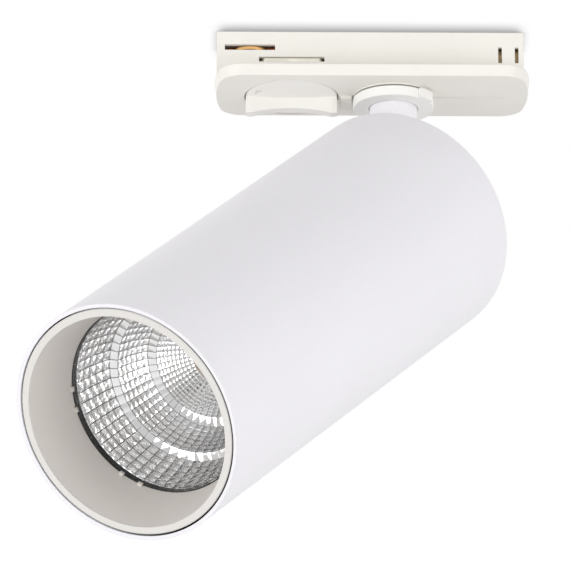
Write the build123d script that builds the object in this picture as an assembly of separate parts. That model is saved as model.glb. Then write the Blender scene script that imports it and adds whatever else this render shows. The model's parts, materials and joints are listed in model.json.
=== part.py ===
from build123d import *
import math
import os

# Track spotlight, millimetres. Origin: swivel axis at the top face of the box that sits in the track.
# +X runs along the adapter away from the locking lever, +Z is up into the track.

# ---- Adapter housing ----
BOX_BEFORE = 56.4          # box length on the lever side of the swivel axis
BOX_AFTER = 41.3           # box length on the other side
BOX_WIDTH = 17.6
BOX_HEIGHT = 15.1
SHELL_WALL = 1.6
FLANGE_OVERHANG_BEFORE = 0.6
FLANGE_OVERHANG_AFTER = 2.0
FLANGE_WIDTH = 36.0
FLANGE_SHIFT = 1.5         # flange middle ahead of the box middle, towards -Y
FLANGE_THICK = 3.8
FLANGE_FLOOR = 1.8         # material left below the cavity
FLANGE_BOW = 3.0           # how far each end bulges beyond its corners
FLANGE_CORNER = 8.0
FLANGE_DRAFT = 8.0         # degrees
SEAM_WIDTH = 0.5
SEAM_DEPTH = 0.4
SEAM_END_GAP = 6.0

# ---- Locking lever, wing and cam ----
LEVER_SPACING = 32.5       # lever axis to swivel axis
LEVER_RADIUS = 14.7
LEVER_GAP = 0.3
LEVER_DISC = 2.5
LEVER_BRIDGE = 1.8         # floor that carries the lever hub
GRIP_HEIGHT = 5.7
GRIP_DIP = 2.1             # hollow along the lower edge of the grip
GRIP_THICK = 3.6
GRIP_NEAR = 1.0            # ends of the grip's near side before the lever axis
GRIP_BOW = 1.4             # both long sides bow away from the near side
HUB_RADIUS = 4.5
POST_RADIUS = 2.2
WING_REACH = 12.0
WING_HALF_WIDTH = 8.2
WING_THICK = 1.2
WING_DEPTH = 9.35          # below the top face, to the middle of the plate
CAM_LONG = 5.5
CAM_SHORT = 3.0
CAM_HEIGHT = 2.6
SCREW_HEAD_HEIGHT = 1.5
HEAD_RECESS = 0.1

# ---- Current contacts ----
CONTACT_DEPTH = 5.3        # below the top face, to the middle of the blade
CONTACT_TRAVEL = 2.7
CONTACT_CENTRE = 13.3      # contact middle to lever axis
CONTACT_LENGTH = 14.0
CONTACT_HEIGHT = 1.0
CONTACT_STRIP = 0.8
CONTACT_BELLY = 8.3        # bulge of the blade from the middle plane
CARRIER_HEIGHT = 3.2
CARRIER_GAP = 1.0          # carrier to middle plane
CARRIER_CLEAR = 0.2        # pushed-out carrier to the wall
CAM_GAP = 0.3

# ---- Slots in the box ----
CONTACT_SLOT_LENGTH = 16.0
CONTACT_SLOT_HEIGHT = 1.8
WING_SLOT_LENGTH = 20.8
WING_SLOT_HEIGHT = 1.6
EARTH_SLOT_WIDTH = 1.15
EARTH_SLOT_HEIGHT = 5.4
EARTH_SLOT_TOP = 5.0
EARTH_SLOT_PITCH = 5.3
EARTH_STRIP = 0.5
EARTH_SETBACK = 1.0        # earth strip behind the slotted wall

# ---- Shell screws ----
SCREW_RADIUS = 1.0
SCREW_HEAD_RADIUS = 1.9
SCREW_BOSS_RADIUS = 2.6
THREAD_GAP = 0.05

# ---- Terminal block ----
TERMINAL_GAP = 2.6         # stem nut to terminal block
TERMINAL_LENGTH = 11.0
TERMINAL_HEIGHT = 7.0
TERMINAL_HALF = 5.6
POLE_PITCH = 3.6

# ---- Swivel stem ----
COLLAR_RADIUS = 12.85
COLLAR_HEIGHT = 4.0        # underside of the housing to the lower face of the collar
COLLAR_SINK = 0.6          # stem shoulder set into the collar
COLLAR_GAP = 0.45          # collar to the raised rim above it
COLLAR_RIM_HEIGHT = 0.35
COLLAR_RIM_WIDTH = 0.9
TAB_REACH = 1.1
TAB_START = -53.0          # degrees from +X
TAB_END = -27.0
RIB_THICK = 3.6
RIB_NEAR = -2.0
RIB_FAR = 8.0
RIB_HEIGHT = 1.3
RIB_GAP = 0.45
STEM_RADIUS = 7.6
STEM_BORE = 3.2
SPIGOT_RADIUS = 5.0
STEM_DROP = 41.1           # collar face to tilt axis
RUNNING_GAP = 0.08
WASHER_THICK = 0.7
NUT_RADIUS = 6.4
NUT_HEIGHT = 2.8
WIRE_RADIUS = 1.1

# ---- Head at rest ----
HEAD_TILT = 53.5           # degrees, head axis from straight down
HEAD_AZIMUTH = 53.3        # degrees, heading of the head's rear end from +X

# ---- Head tube and front ----
TUBE_RADIUS = 37.5
TUBE_LENGTH = 178.0
TUBE_WALL = 1.2
PIVOT_INSET = 4.9          # tilt axis ahead of the rear end
FIT_GAP = 0.3              # what slides into the tube
LIP_WIDTH = 2.5
LIP_DEPTH = 3.0
BAFFLE_DEPTH = 19.7
THROAT_MARGIN = 3.1        # baffle throat inside the edge of the lock ring
LIP_CHAMFER = 0.3
LIP_GAP = 0.45             # lip to the bore of the tube
BAFFLE_WALL = 1.3
LOCK_TAB_PLACES = (12.0, 132.0, 192.0, 312.0)  # degrees to the middle of each pair
LOCK_TAB_SPLIT = 13.0      # degrees between the tabs of a pair
LOCK_TAB_WIDTH = 1.5
LOCK_TAB_REACH = 0.8

# ---- Optics ----
RING_THICK = 2.3
RING_MARGIN = 3.0
RING_WIDTH = 3.4
REFLECTOR_DEPTH = 34.5
REFLECTOR_WALL = 1.2
REFLECTOR_RIM = 1.0
FLANGE_MARGIN = 2.0        # reflector rim to the edge of the lock ring
OUTER_ZONE_SHARE = 0.417   # of the depth, to the first tread
INNER_ZONE_SHARE = 0.754   # of the depth, to the second tread
OUTER_ZONE_TAPER = 3.3     # loss of radius along each zone and across each tread
OUTER_TREAD_WIDTH = 2.5
MIDDLE_ZONE_TAPER = 4.2
INNER_TREAD_WIDTH = 2.8
REFLECTOR_FOOT = 9.0
TREAD_RISE = 0.7           # depth of each tread between two zones
ZONE_BOW = 0.5
HOLDER_RADIUS = 20.0
HOLDER_THICK = 3.2
COB_SIDE = 19.0
COB_THICK = 1.2
EMITTER_RADIUS = 8.9
EMITTER_THICK = 0.6
PAD_THICK = 0.5

# ---- Heat sink and driver ----
SINK_BASE = 6.0
SINK_CORE = 9.0
FIN_COUNT = 18
FIN_THICK = 1.6
FIN_MARGIN = 1.5           # fin tips to the fitted radius
ROD_MARGIN = 6.0           # rod axes to the fitted radius
ROD_START = 30.0           # degrees
ROD_RADIUS = 2.0
ROD_COUNT = 3
DRIVER_SHARE = 0.6         # of the room between light source and chassis plate
DRIVER_ROD_GAP = 2.0
DRIVER_HEIGHT = 25.0
DRIVER_WALL = 1.5
BOARD_THICK = 1.6
BOARD_MARGIN = 1.5
TRANSFORMER = (17.0, 12.0, 18.0)
CAPACITOR_RADIUS = 4.5
CAPACITOR_HEIGHT = 13.0
CHIP = (8.0, 2.5, 5.0)
BOARD_FOOT = 2.0           # height of the feet under the board
BOARD_FOOT_RADIUS = 1.6

# ---- Chassis, tilt joint and rear cap ----
CHASSIS_THICK = 6.0
TUBE_SCREW_RADIUS = 1.5
TUBE_SCREW_HEAD = 2.8
TUBE_SCREW_LENGTH = 8.0
TUBE_SCREW_ANGLES = (42.0, -78.0)
CAP_THICK = 2.4
CAP_SLOT_GAP = 0.55
CAP_WINDOW_X = 12.0
CAP_WINDOW_Y = 8.5
LEG_RADIUS = 4.0
LEG_MARGIN = 1.0
LEG_ANGLES = (-30.0, 210.0, 57.0, 123.0)
LEG_BORE_GAP = 0.1
TONGUE_THICK = 9.0
FRICTION_WASHER = 0.8
CHEEK_THICK = 2.0
CHEEK_EYE = 4.8
CHEEK_HALF_WIDTH = 7.5
BOLT_RADIUS = 2.5
BOLT_HEAD = 4.3
BOLT_HEAD_THICK = 3.0
NUT_FLATS = 8.0
BRACKET_FOOT = 9.0
BRACKET_HEIGHT = 21.6      # bracket foot to tilt axis
SHOULDER_CLEAR = 9.5       # stem shoulder to tilt axis
SHOULDER_THICK = 2.0
PLUG_RADIUS = 5.5
PLUG_LENGTH = 8.0

# ---- Derived levels and places ----
SEAT_Z = -BOX_HEIGHT
UNDER_Z = SEAT_Z - FLANGE_THICK
FLOOR_Z = UNDER_Z + FLANGE_FLOOR
CAVITY_HALF = BOX_WIDTH / 2 - SHELL_WALL
CARRIER_FACE = CAVITY_HALF - CONTACT_TRAVEL - CARRIER_CLEAR
LEVER_X = -LEVER_SPACING
POCKET_Z = UNDER_Z + LEVER_DISC + LEVER_GAP / 2
BRIDGE_Z = POCKET_Z + LEVER_BRIDGE
WING_Z = -WING_DEPTH - WING_THICK / 2
CAM_Z = -CONTACT_DEPTH - CAM_HEIGHT / 2
CAM_TOP = CAM_Z + CAM_HEIGHT
CONTACT_X = LEVER_X - CONTACT_CENTRE
SHELF_Z = -CONTACT_DEPTH - CARRIER_HEIGHT / 2 - LEVER_GAP
EARTH_X = BOX_AFTER - SHELL_WALL - EARTH_SLOT_WIDTH / 2
COLLAR_TOP = UNDER_Z - COLLAR_RIM_HEIGHT - COLLAR_GAP
COLLAR_Z = UNDER_Z - COLLAR_HEIGHT
PIVOT_Z = COLLAR_Z - STEM_DROP
TUBE_BORE = TUBE_RADIUS - TUBE_WALL
FIT_RADIUS = TUBE_BORE - FIT_GAP
LIP_RADIUS = TUBE_BORE - LIP_GAP
RING_S = BAFFLE_DEPTH
REFLECTOR_S = RING_S + RING_THICK
OUTER_TREAD_S = REFLECTOR_S + OUTER_ZONE_SHARE * REFLECTOR_DEPTH
INNER_TREAD_S = REFLECTOR_S + INNER_ZONE_SHARE * REFLECTOR_DEPTH
FOOT_S = REFLECTOR_S + REFLECTOR_DEPTH
HOLDER_S = FOOT_S
SINK_S = HOLDER_S + HOLDER_THICK
CAP_S = TUBE_LENGTH - CAP_THICK
PIVOT_S = TUBE_LENGTH - PIVOT_INSET
BRACKET_S = PIVOT_S - BRACKET_HEIGHT
CHASSIS_S = BRACKET_S - CHASSIS_THICK
DRIVER_LENGTH = DRIVER_SHARE * (CHASSIS_S - SINK_S)
DRIVER_S = CHASSIS_S - DRIVER_LENGTH
RING_OUTER = FIT_RADIUS - RING_MARGIN
BAFFLE_THROAT = RING_OUTER - THROAT_MARGIN
RING_INNER = RING_OUTER - RING_WIDTH
OUTER_ZONE_END = RING_INNER - OUTER_ZONE_TAPER
MIDDLE_ZONE_START = OUTER_ZONE_END - OUTER_TREAD_WIDTH
MIDDLE_ZONE_END = MIDDLE_ZONE_START - MIDDLE_ZONE_TAPER
INNER_ZONE_START = MIDDLE_ZONE_END - INNER_TREAD_WIDTH
FIN_REACH = FIT_RADIUS - FIN_MARGIN
ROD_CIRCLE = FIT_RADIUS - ROD_MARGIN
DRIVER_WIDTH = 2 * (ROD_CIRCLE * math.cos(math.radians(ROD_START)) - ROD_RADIUS - DRIVER_ROD_GAP)
LEG_CIRCLE = FIT_RADIUS - LEG_RADIUS - LEG_MARGIN
CHEEK_INNER = TONGUE_THICK / 2 + FRICTION_WASHER
CHEEK_OUTER = CHEEK_INNER + CHEEK_THICK
TERMINAL_X = NUT_RADIUS + TERMINAL_GAP
SHELL_SCREW_PLACES = (
    (-BOX_BEFORE + SHELL_WALL + 3.8, SEAT_Z + SCREW_BOSS_RADIUS),
    (LEVER_X + WING_REACH + SCREW_BOSS_RADIUS + 0.8, -BOX_HEIGHT / 2),
    (BOX_AFTER - 16.5, -BOX_HEIGHT / 2),
)


def tilt_axis():
    azimuth = math.radians(HEAD_AZIMUTH)
    return (-math.sin(azimuth), math.cos(azimuth), 0)


def head_axis():
    azimuth = math.radians(HEAD_AZIMUTH)
    tilt = math.radians(HEAD_TILT)
    return (
        math.sin(tilt) * math.cos(azimuth),
        math.sin(tilt) * math.sin(azimuth),
        math.cos(tilt),
    )


PIVOT = (0, 0, PIVOT_Z)
STEM_FRAME = Plane(origin=PIVOT, x_dir=tilt_axis(), z_dir=(0, 0, 1)).location
HEAD_PIVOT_FRAME = Plane(origin=PIVOT, x_dir=tilt_axis(), z_dir=head_axis()).location
# Head pieces are drawn on +Z from the front face (0) to the rear end (TUBE_LENGTH).
HEAD_FRAME = HEAD_PIVOT_FRAME * Location((0, 0, -PIVOT_S))


# ---- Helpers ----
def disc(radius, z_low, z_high, x=0.0, y=0.0):
    return Pos(x, y, (z_low + z_high) / 2) * Cylinder(radius, z_high - z_low)


def ring(outer, inner, z_low, z_high, x=0.0, y=0.0):
    return disc(outer, z_low, z_high, x, y) - disc(inner, z_low - 1, z_high + 1, x, y)


def block(x_low, x_high, y_low, y_high, z_low, z_high):
    middle = Pos((x_low + x_high) / 2, (y_low + y_high) / 2, (z_low + z_high) / 2)
    return middle * Box(x_high - x_low, y_high - y_low, z_high - z_low)


def rod_y(radius, y_low, y_high, x, z):
    return Pos(x, (y_low + y_high) / 2, z) * Rot(90, 0, 0) * Cylinder(radius, y_high - y_low)


def rod_x(radius, x_low, x_high, y=0.0, z=0.0):
    return Pos((x_low + x_high) / 2, y, z) * Rot(0, 90, 0) * Cylinder(radius, x_high - x_low)


def polar(radius, degrees):
    angle = math.radians(degrees)
    return (radius * math.cos(angle), radius * math.sin(angle))


def revolved(points):
    """Solid of revolution about Z from (radius, height) points."""
    face = make_face(Polyline([(r, 0, z) for r, z in points], close=True))
    return revolve(face, Axis.Z)


def mirrored(shape):
    return mirror(shape, Plane.XZ)


def write(name, shape):
    export_step(shape, "parts/" + name + ".step")


def write_head(name, shape):
    write(name, HEAD_FRAME * shape)


# ---- Adapter housing ----
def flange():
    left = -BOX_BEFORE - FLANGE_OVERHANG_BEFORE
    right = BOX_AFTER + FLANGE_OVERHANG_AFTER
    near = -FLANGE_WIDTH / 2 - FLANGE_SHIFT
    far = FLANGE_WIDTH / 2 - FLANGE_SHIFT
    outline = Polyline((left + FLANGE_BOW, near), (right - FLANGE_BOW, near))
    outline += ThreePointArc((right - FLANGE_BOW, near), (right, -FLANGE_SHIFT), (right - FLANGE_BOW, far))
    outline += Line((right - FLANGE_BOW, far), (left + FLANGE_BOW, far))
    outline += ThreePointArc((left + FLANGE_BOW, far), (left, -FLANGE_SHIFT), (left + FLANGE_BOW, near))
    face = make_face(outline)
    face = fillet(face.vertices(), FLANGE_CORNER)
    return Pos(0, 0, SEAT_Z) * extrude(face, -FLANGE_THICK, taper=FLANGE_DRAFT)


def cavities():
    low_x = -BOX_BEFORE + SHELL_WALL
    high_x = BOX_AFTER - SHELL_WALL
    lever_low = LEVER_X - WING_REACH - 1
    lever_high = LEVER_X + LEVER_RADIUS + SHELL_WALL
    top = -SHELL_WALL
    half = CAVITY_HALF
    rooms = block(low_x, lever_low, -half, half, SHELF_Z, top)
    rooms += block(lever_low, lever_high, -half, half, BRIDGE_Z, top)
    rooms += block(lever_high, high_x, -half, half, FLOOR_Z, top)
    return rooms


def side_slots():
    far = BOX_WIDTH / 2 + 1
    near = CAVITY_HALF - 0.5
    openings = Part()
    for low, high in ((-far, -near), (near, far)):
        half = CONTACT_SLOT_LENGTH / 2
        tall = CONTACT_SLOT_HEIGHT / 2
        openings += block(CONTACT_X - half, CONTACT_X + half, low, high,
                          -CONTACT_DEPTH - tall, -CONTACT_DEPTH + tall)
        half = WING_SLOT_LENGTH / 2
        tall = WING_SLOT_HEIGHT / 2
        openings += block(LEVER_X - half, LEVER_X + half, low, high,
                          -WING_DEPTH - tall, -WING_DEPTH + tall)
        for x in (EARTH_X, EARTH_X - EARTH_SLOT_PITCH):
            half = EARTH_SLOT_WIDTH / 2
            openings += block(x - half, x + half, low, high,
                              -EARTH_SLOT_TOP - EARTH_SLOT_HEIGHT, -EARTH_SLOT_TOP)
    return openings


def screw_bosses():
    bosses = Part()
    for x, z in SHELL_SCREW_PLACES:
        bosses += rod_y(SCREW_BOSS_RADIUS, -CAVITY_HALF - 0.5, CAVITY_HALF + 0.5, x, z)
    return bosses


def screw_holes():
    holes = Part()
    face = BOX_WIDTH / 2
    for x, z in SHELL_SCREW_PLACES:
        holes += rod_y(SCREW_RADIUS + THREAD_GAP, -CAVITY_HALF + SHELL_WALL - THREAD_GAP, face + 1, x, z)
        holes += rod_y(SCREW_HEAD_RADIUS + THREAD_GAP, face - SHELL_WALL / 2, face + 1, x, z)
    return holes


def stop_rib():
    x_high = -COLLAR_RADIUS - RIB_GAP
    return block(x_high - RIB_THICK, x_high, RIB_NEAR, RIB_FAR, UNDER_Z - RIB_HEIGHT, UNDER_Z + 0.5)


def housing():
    body = block(-BOX_BEFORE, BOX_AFTER, -BOX_WIDTH / 2, BOX_WIDTH / 2, SEAT_Z - 0.5, 0)
    body += flange()
    body += stop_rib()
    rim_radius = COLLAR_RADIUS + RIB_GAP / 2
    body += ring(rim_radius, rim_radius - COLLAR_RIM_WIDTH, UNDER_Z - COLLAR_RIM_HEIGHT, UNDER_Z + 0.5)
    body -= cavities()
    body += screw_bosses()
    body -= screw_holes()
    body -= side_slots()
    body -= disc(LEVER_RADIUS + LEVER_GAP, UNDER_Z - 1, POCKET_Z, LEVER_X)
    body -= disc(HUB_RADIUS + RUNNING_GAP, UNDER_Z, BRIDGE_Z + 1, LEVER_X)
    body -= disc(SPIGOT_RADIUS + RUNNING_GAP, UNDER_Z - 1, FLOOR_Z + 1)
    seam_end = BOX_AFTER - SEAM_END_GAP
    seam_half = SEAM_WIDTH / 2
    body -= block(SPIGOT_RADIUS, seam_end, -seam_half, seam_half, UNDER_Z - 1, UNDER_Z + SEAM_DEPTH)
    return body


def shells():
    whole = housing()
    reach = BOX_BEFORE + BOX_AFTER + FLANGE_WIDTH
    front_half = block(-reach, reach, -reach, 0, -reach, reach)
    rear_half = block(-reach, reach, 0, reach, -reach, reach)
    write("front_shell", whole & front_half)
    write("rear_shell", whole & rear_half)


def shell_screws():
    screws = Part()
    face = BOX_WIDTH / 2
    for x, z in SHELL_SCREW_PLACES:
        seat = face - SHELL_WALL / 2
        screw = rod_y(SCREW_RADIUS, -CAVITY_HALF + SHELL_WALL, seat, x, z)
        screw += rod_y(SCREW_HEAD_RADIUS, seat, face - 0.1, x, z)
        screws += screw - block(x - SCREW_RADIUS, x + SCREW_RADIUS, face - 0.5, face, z - 0.25, z + 0.25)
    write("shell_screws", screws)


def earth_contact():
    x_high = BOX_AFTER - SHELL_WALL
    x_low = x_high - EARTH_SLOT_PITCH - 2 * EARTH_SLOT_WIDTH
    z_low = -EARTH_SLOT_TOP - EARTH_SLOT_HEIGHT - 1
    z_high = -EARTH_SLOT_TOP + 1
    outer = CAVITY_HALF - EARTH_SETBACK
    inner = outer - EARTH_STRIP
    strip = block(x_low, x_high, -outer, outer, z_low, z_high)
    strip -= block(x_low - 1, x_high - EARTH_STRIP, -inner, inner, z_low - 1, z_high + 1)
    write("earth_contact", strip)


def terminal_block():
    x_high = TERMINAL_X + TERMINAL_LENGTH
    top = FLOOR_Z + TERMINAL_HEIGHT
    body = block(TERMINAL_X, x_high, -TERMINAL_HALF, TERMINAL_HALF, FLOOR_Z, top)
    screws = Part()
    for pole in (-1, 0, 1):
        y = pole * POLE_PITCH
        body -= rod_x(WIRE_RADIUS, TERMINAL_X - 1, x_high + 1, y, FLOOR_Z + TERMINAL_HEIGHT / 3)
        for x in (TERMINAL_X + TERMINAL_LENGTH / 4, x_high - TERMINAL_LENGTH / 4):
            body -= disc(SCREW_RADIUS + THREAD_GAP, top - 3, top + 1, x, y)
            screws += disc(SCREW_RADIUS, top - 3, top - 0.4, x, y)
    write("terminal_block", body)
    write("terminal_screws", screws)


# ---- Locking lever ----
def lock_lever():
    top = POCKET_Z - LEVER_GAP / 2
    lever = disc(LEVER_RADIUS, UNDER_Z, top, LEVER_X)
    rim = lever.edges().filter_by(GeomType.CIRCLE).sort_by(Axis.Z)[0]
    lever = chamfer(rim, 0.4)
    low = UNDER_Z - GRIP_HEIGHT
    near = -GRIP_NEAR
    far = near + GRIP_THICK + GRIP_BOW
    grip = block(LEVER_X - LEVER_RADIUS, LEVER_X + LEVER_RADIUS, near, far, low, UNDER_Z + 0.5)
    grip &= disc(LEVER_RADIUS - 0.1, low, UNDER_Z + 0.5, LEVER_X)
    chord = LEVER_RADIUS - 2.0
    dip_radius = (chord ** 2 + GRIP_DIP ** 2) / (2 * GRIP_DIP)
    grip -= rod_y(dip_radius, near - 1, far + 1, LEVER_X, low + GRIP_DIP - dip_radius)
    bow_radius = (chord ** 2 + GRIP_BOW ** 2) / (2 * GRIP_BOW)
    bow_middle = near + GRIP_BOW - bow_radius
    grip -= disc(bow_radius, low - 1, UNDER_Z, LEVER_X, bow_middle)
    grip &= disc(bow_radius, low - 1, UNDER_Z + 1, LEVER_X, bow_middle + GRIP_THICK)
    lever += grip
    lever += disc(HUB_RADIUS, top - 0.5, WING_Z, LEVER_X)
    lever += disc(POST_RADIUS, WING_Z - 0.5, CAM_TOP, LEVER_X)
    lever -= disc(SCREW_RADIUS + THREAD_GAP, CAM_TOP - 6, CAM_TOP + 1, LEVER_X)
    write("lock_lever", lever)


def locking_wing():
    wing = disc(WING_REACH, WING_Z, WING_Z + WING_THICK, LEVER_X)
    wing &= block(LEVER_X - WING_REACH, LEVER_X + WING_REACH, -WING_HALF_WIDTH, WING_HALF_WIDTH,
                  WING_Z, WING_Z + WING_THICK)
    wing -= disc(POST_RADIUS + THREAD_GAP, WING_Z - 1, WING_Z + WING_THICK + 1, LEVER_X)
    write("locking_wing", wing)


def contact_cam():
    cam = extrude(Pos(LEVER_X, 0, CAM_Z) * Ellipse(CAM_LONG, CAM_SHORT), CAM_HEIGHT)
    cam += disc(CAM_SHORT, WING_Z + WING_THICK, CAM_Z + 0.5, LEVER_X)
    cam -= disc(POST_RADIUS + THREAD_GAP, WING_Z, CAM_TOP + 1, LEVER_X)
    write("contact_cam", cam)


def lever_screw():
    screw = disc(SCREW_RADIUS, CAM_TOP - 5.5, CAM_TOP, LEVER_X)
    screw += disc(CAM_SHORT - 0.2, CAM_TOP, CAM_TOP + SCREW_HEAD_HEIGHT, LEVER_X)
    arm = SCREW_RADIUS * 1.6
    half = SCREW_RADIUS * 0.35
    low = CAM_TOP + SCREW_HEAD_HEIGHT / 2
    high = CAM_TOP + SCREW_HEAD_HEIGHT + 1
    screw -= block(LEVER_X - arm, LEVER_X + arm, -half, half, low, high)
    screw -= block(LEVER_X - half, LEVER_X + half, -arm, arm, low, high)
    write("lever_screw", screw)


# ---- Current contacts ----
def contact_blade():
    half = CONTACT_LENGTH / 2 - 0.6
    rise = CONTACT_BELLY - CARRIER_FACE
    low = CONTACT_X - half
    high = CONTACT_X + half
    y = -CARRIER_FACE
    outer = ThreePointArc((low, y), (CONTACT_X, y - rise), (high, y))
    inner = ThreePointArc((high - CONTACT_STRIP, y), (CONTACT_X, y - rise + CONTACT_STRIP),
                          (low + CONTACT_STRIP, y))
    ends = Line((high, y), (high - CONTACT_STRIP, y)) + Line((low + CONTACT_STRIP, y), (low, y))
    strip = make_face(outer + inner + ends)
    return Pos(0, 0, -CONTACT_DEPTH - CONTACT_HEIGHT / 2) * extrude(strip, CONTACT_HEIGHT)


def contact_carrier():
    low = CONTACT_X - CONTACT_LENGTH / 2
    high = CONTACT_X + CONTACT_LENGTH / 2 - 0.5
    z_low = -CONTACT_DEPTH - CARRIER_HEIGHT / 2
    body = block(low, high, -CARRIER_FACE, -CARRIER_GAP, z_low, z_low + CARRIER_HEIGHT)
    inner = CAM_SHORT + CAM_GAP
    reach = LEVER_X + CAM_LONG / 2
    finger = block(high - 1, reach, -CARRIER_FACE, -inner, z_low, z_low + CARRIER_HEIGHT)
    return body + finger


def contacts():
    write("front_contact_blade", contact_blade())
    write("rear_contact_blade", mirrored(contact_blade()))
    write("front_contact_carrier", contact_carrier())
    write("rear_contact_carrier", mirrored(contact_carrier()))


# ---- Swivel stem ----
def stem_collar():
    collar = disc(COLLAR_RADIUS, COLLAR_Z, COLLAR_TOP)
    tab = disc(COLLAR_RADIUS + TAB_REACH, COLLAR_Z, COLLAR_TOP)
    far = 3 * COLLAR_RADIUS
    middle = (TAB_START + TAB_END) / 2
    wedge = make_face(Polyline([(0, 0), polar(far, TAB_START), polar(far, middle), polar(far, TAB_END)],
                               close=True))
    tab &= extrude(Pos(0, 0, COLLAR_Z) * wedge, COLLAR_HEIGHT)
    collar += tab
    low_edges = collar.edges().group_by(Axis.Z)[0]
    collar = fillet(low_edges, 0.3)
    collar -= disc(SPIGOT_RADIUS + THREAD_GAP, COLLAR_Z - 1, COLLAR_TOP + 1)
    collar -= disc(STEM_RADIUS + FIT_GAP, COLLAR_Z - 1, COLLAR_Z + COLLAR_SINK)
    write("stem_collar", collar)


def stem_tube():
    shoulder = COLLAR_Z + COLLAR_SINK
    low = PIVOT_Z + SHOULDER_CLEAR + SHOULDER_THICK
    top = FLOOR_Z + WASHER_THICK + NUT_HEIGHT + 1.0
    stem = disc(STEM_RADIUS, low, shoulder)
    stem += disc(SPIGOT_RADIUS, shoulder - 0.5, top)
    stem -= disc(STEM_BORE, low - 1, top + 1)
    stem -= disc(PLUG_RADIUS + THREAD_GAP, low - 1, low + PLUG_LENGTH + THREAD_GAP)
    write("stem_tube", stem)


def stem_fixings():
    washer_top = FLOOR_Z + WASHER_THICK
    write("stem_washer", ring(NUT_RADIUS, SPIGOT_RADIUS + THREAD_GAP, FLOOR_Z, washer_top))
    nut = ring(NUT_RADIUS, SPIGOT_RADIUS + THREAD_GAP, washer_top, washer_top + NUT_HEIGHT)
    for turn in (0, 90):
        groove = block(-NUT_RADIUS - 1, NUT_RADIUS + 1, -0.8, 0.8,
                       washer_top + NUT_HEIGHT - 1.2, washer_top + NUT_HEIGHT + 1)
        nut -= Rot(0, 0, turn) * groove
    write("stem_nut", nut)


def pivot_tongue():
    """Foot of the stem, drawn about the tilt axis with the axis along X."""
    shoulder = SHOULDER_CLEAR
    half = TONGUE_THICK / 2
    tongue = disc(STEM_RADIUS, shoulder, shoulder + SHOULDER_THICK)
    tongue += disc(PLUG_RADIUS, shoulder + SHOULDER_THICK - 0.5, shoulder + SHOULDER_THICK + PLUG_LENGTH)
    blade = block(-half, half, -STEM_RADIUS, STEM_RADIUS, 0, shoulder + 0.5)
    tongue += blade & disc(STEM_RADIUS, 0, shoulder + 1)
    tongue += rod_x(CHEEK_EYE, -half, half)
    tongue -= rod_x(BOLT_RADIUS + RUNNING_GAP, -half - 1, half + 1)
    tongue -= disc(STEM_BORE, shoulder - 2.0, shoulder + SHOULDER_THICK + PLUG_LENGTH + 1)
    wire_way = Box(2 * WIRE_RADIUS + 2.6, STEM_RADIUS + 3, 4.4)
    tongue -= Pos(0, STEM_RADIUS / 2 + 1.5, shoulder - 2.0) * wire_way
    write("pivot_tongue", STEM_FRAME * tongue)


def stem_wires():
    low = PIVOT_Z + SHOULDER_CLEAR - 1.0
    top = FLOOR_Z + WASHER_THICK + NUT_HEIGHT + 3.0
    offset = WIRE_RADIUS + 0.1
    wires = disc(WIRE_RADIUS, low, top, offset)
    wires += disc(WIRE_RADIUS, low, top, -offset)
    write("stem_wires", wires)


# ---- Head: tube and front ----
def head_tube():
    tube = ring(TUBE_RADIUS, TUBE_BORE, 0, TUBE_LENGTH)
    tube -= tube_screw_shapes(TUBE_SCREW_RADIUS + THREAD_GAP, TUBE_SCREW_HEAD + THREAD_GAP)
    write_head("head_tube", tube)


def front_baffle():
    mouth = FIT_RADIUS - LIP_WIDTH
    baffle = revolved([
        (mouth, 0),
        (LIP_RADIUS - LIP_CHAMFER, 0),
        (LIP_RADIUS, LIP_CHAMFER),
        (LIP_RADIUS, LIP_DEPTH),
        (mouth + BAFFLE_WALL, LIP_DEPTH),
        (BAFFLE_THROAT + BAFFLE_WALL, BAFFLE_DEPTH),
        (BAFFLE_THROAT, BAFFLE_DEPTH),
        (mouth, LIP_WIDTH / 3),
    ])
    for place in LOCK_TAB_PLACES:
        for side in (-0.5, 0.5):
            angle = place + side * LOCK_TAB_SPLIT
            tab = block(BAFFLE_THROAT - LOCK_TAB_REACH, BAFFLE_THROAT + BAFFLE_WALL / 2,
                        -LOCK_TAB_WIDTH / 2, LOCK_TAB_WIDTH / 2, BAFFLE_DEPTH - 1, BAFFLE_DEPTH)
            baffle += Rot(0, 0, angle) * tab
    write_head("front_baffle", baffle)


# ---- Head: optics ----
def lock_ring():
    """Ring that locks the reflector; its notches take the tabs of the baffle."""
    lock = ring(RING_OUTER, RING_INNER, RING_S, RING_S + RING_THICK)
    half = LOCK_TAB_WIDTH / 2 + FIT_GAP
    for place in LOCK_TAB_PLACES:
        for side in (-0.5, 0.5):
            angle = place + side * LOCK_TAB_SPLIT
            notch = block(BAFFLE_THROAT, RING_OUTER + 1, -half, half, RING_S - 1, RING_S + RING_THICK / 2)
            lock -= Rot(0, 0, angle) * notch
    write_head("reflector_lock_ring", lock)


def zone_arc(start, end):
    """Points of one zone's wall from (radius, height) to (radius, height), bowed outwards a little."""
    steps = 4
    points = []
    for step in range(steps + 1):
        share = step / steps
        bow = 4 * ZONE_BOW * share * (1 - share)
        radius = start[0] + (end[0] - start[0]) * share + bow
        points.append((radius, start[1] + (end[1] - start[1]) * share))
    return points


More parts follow.
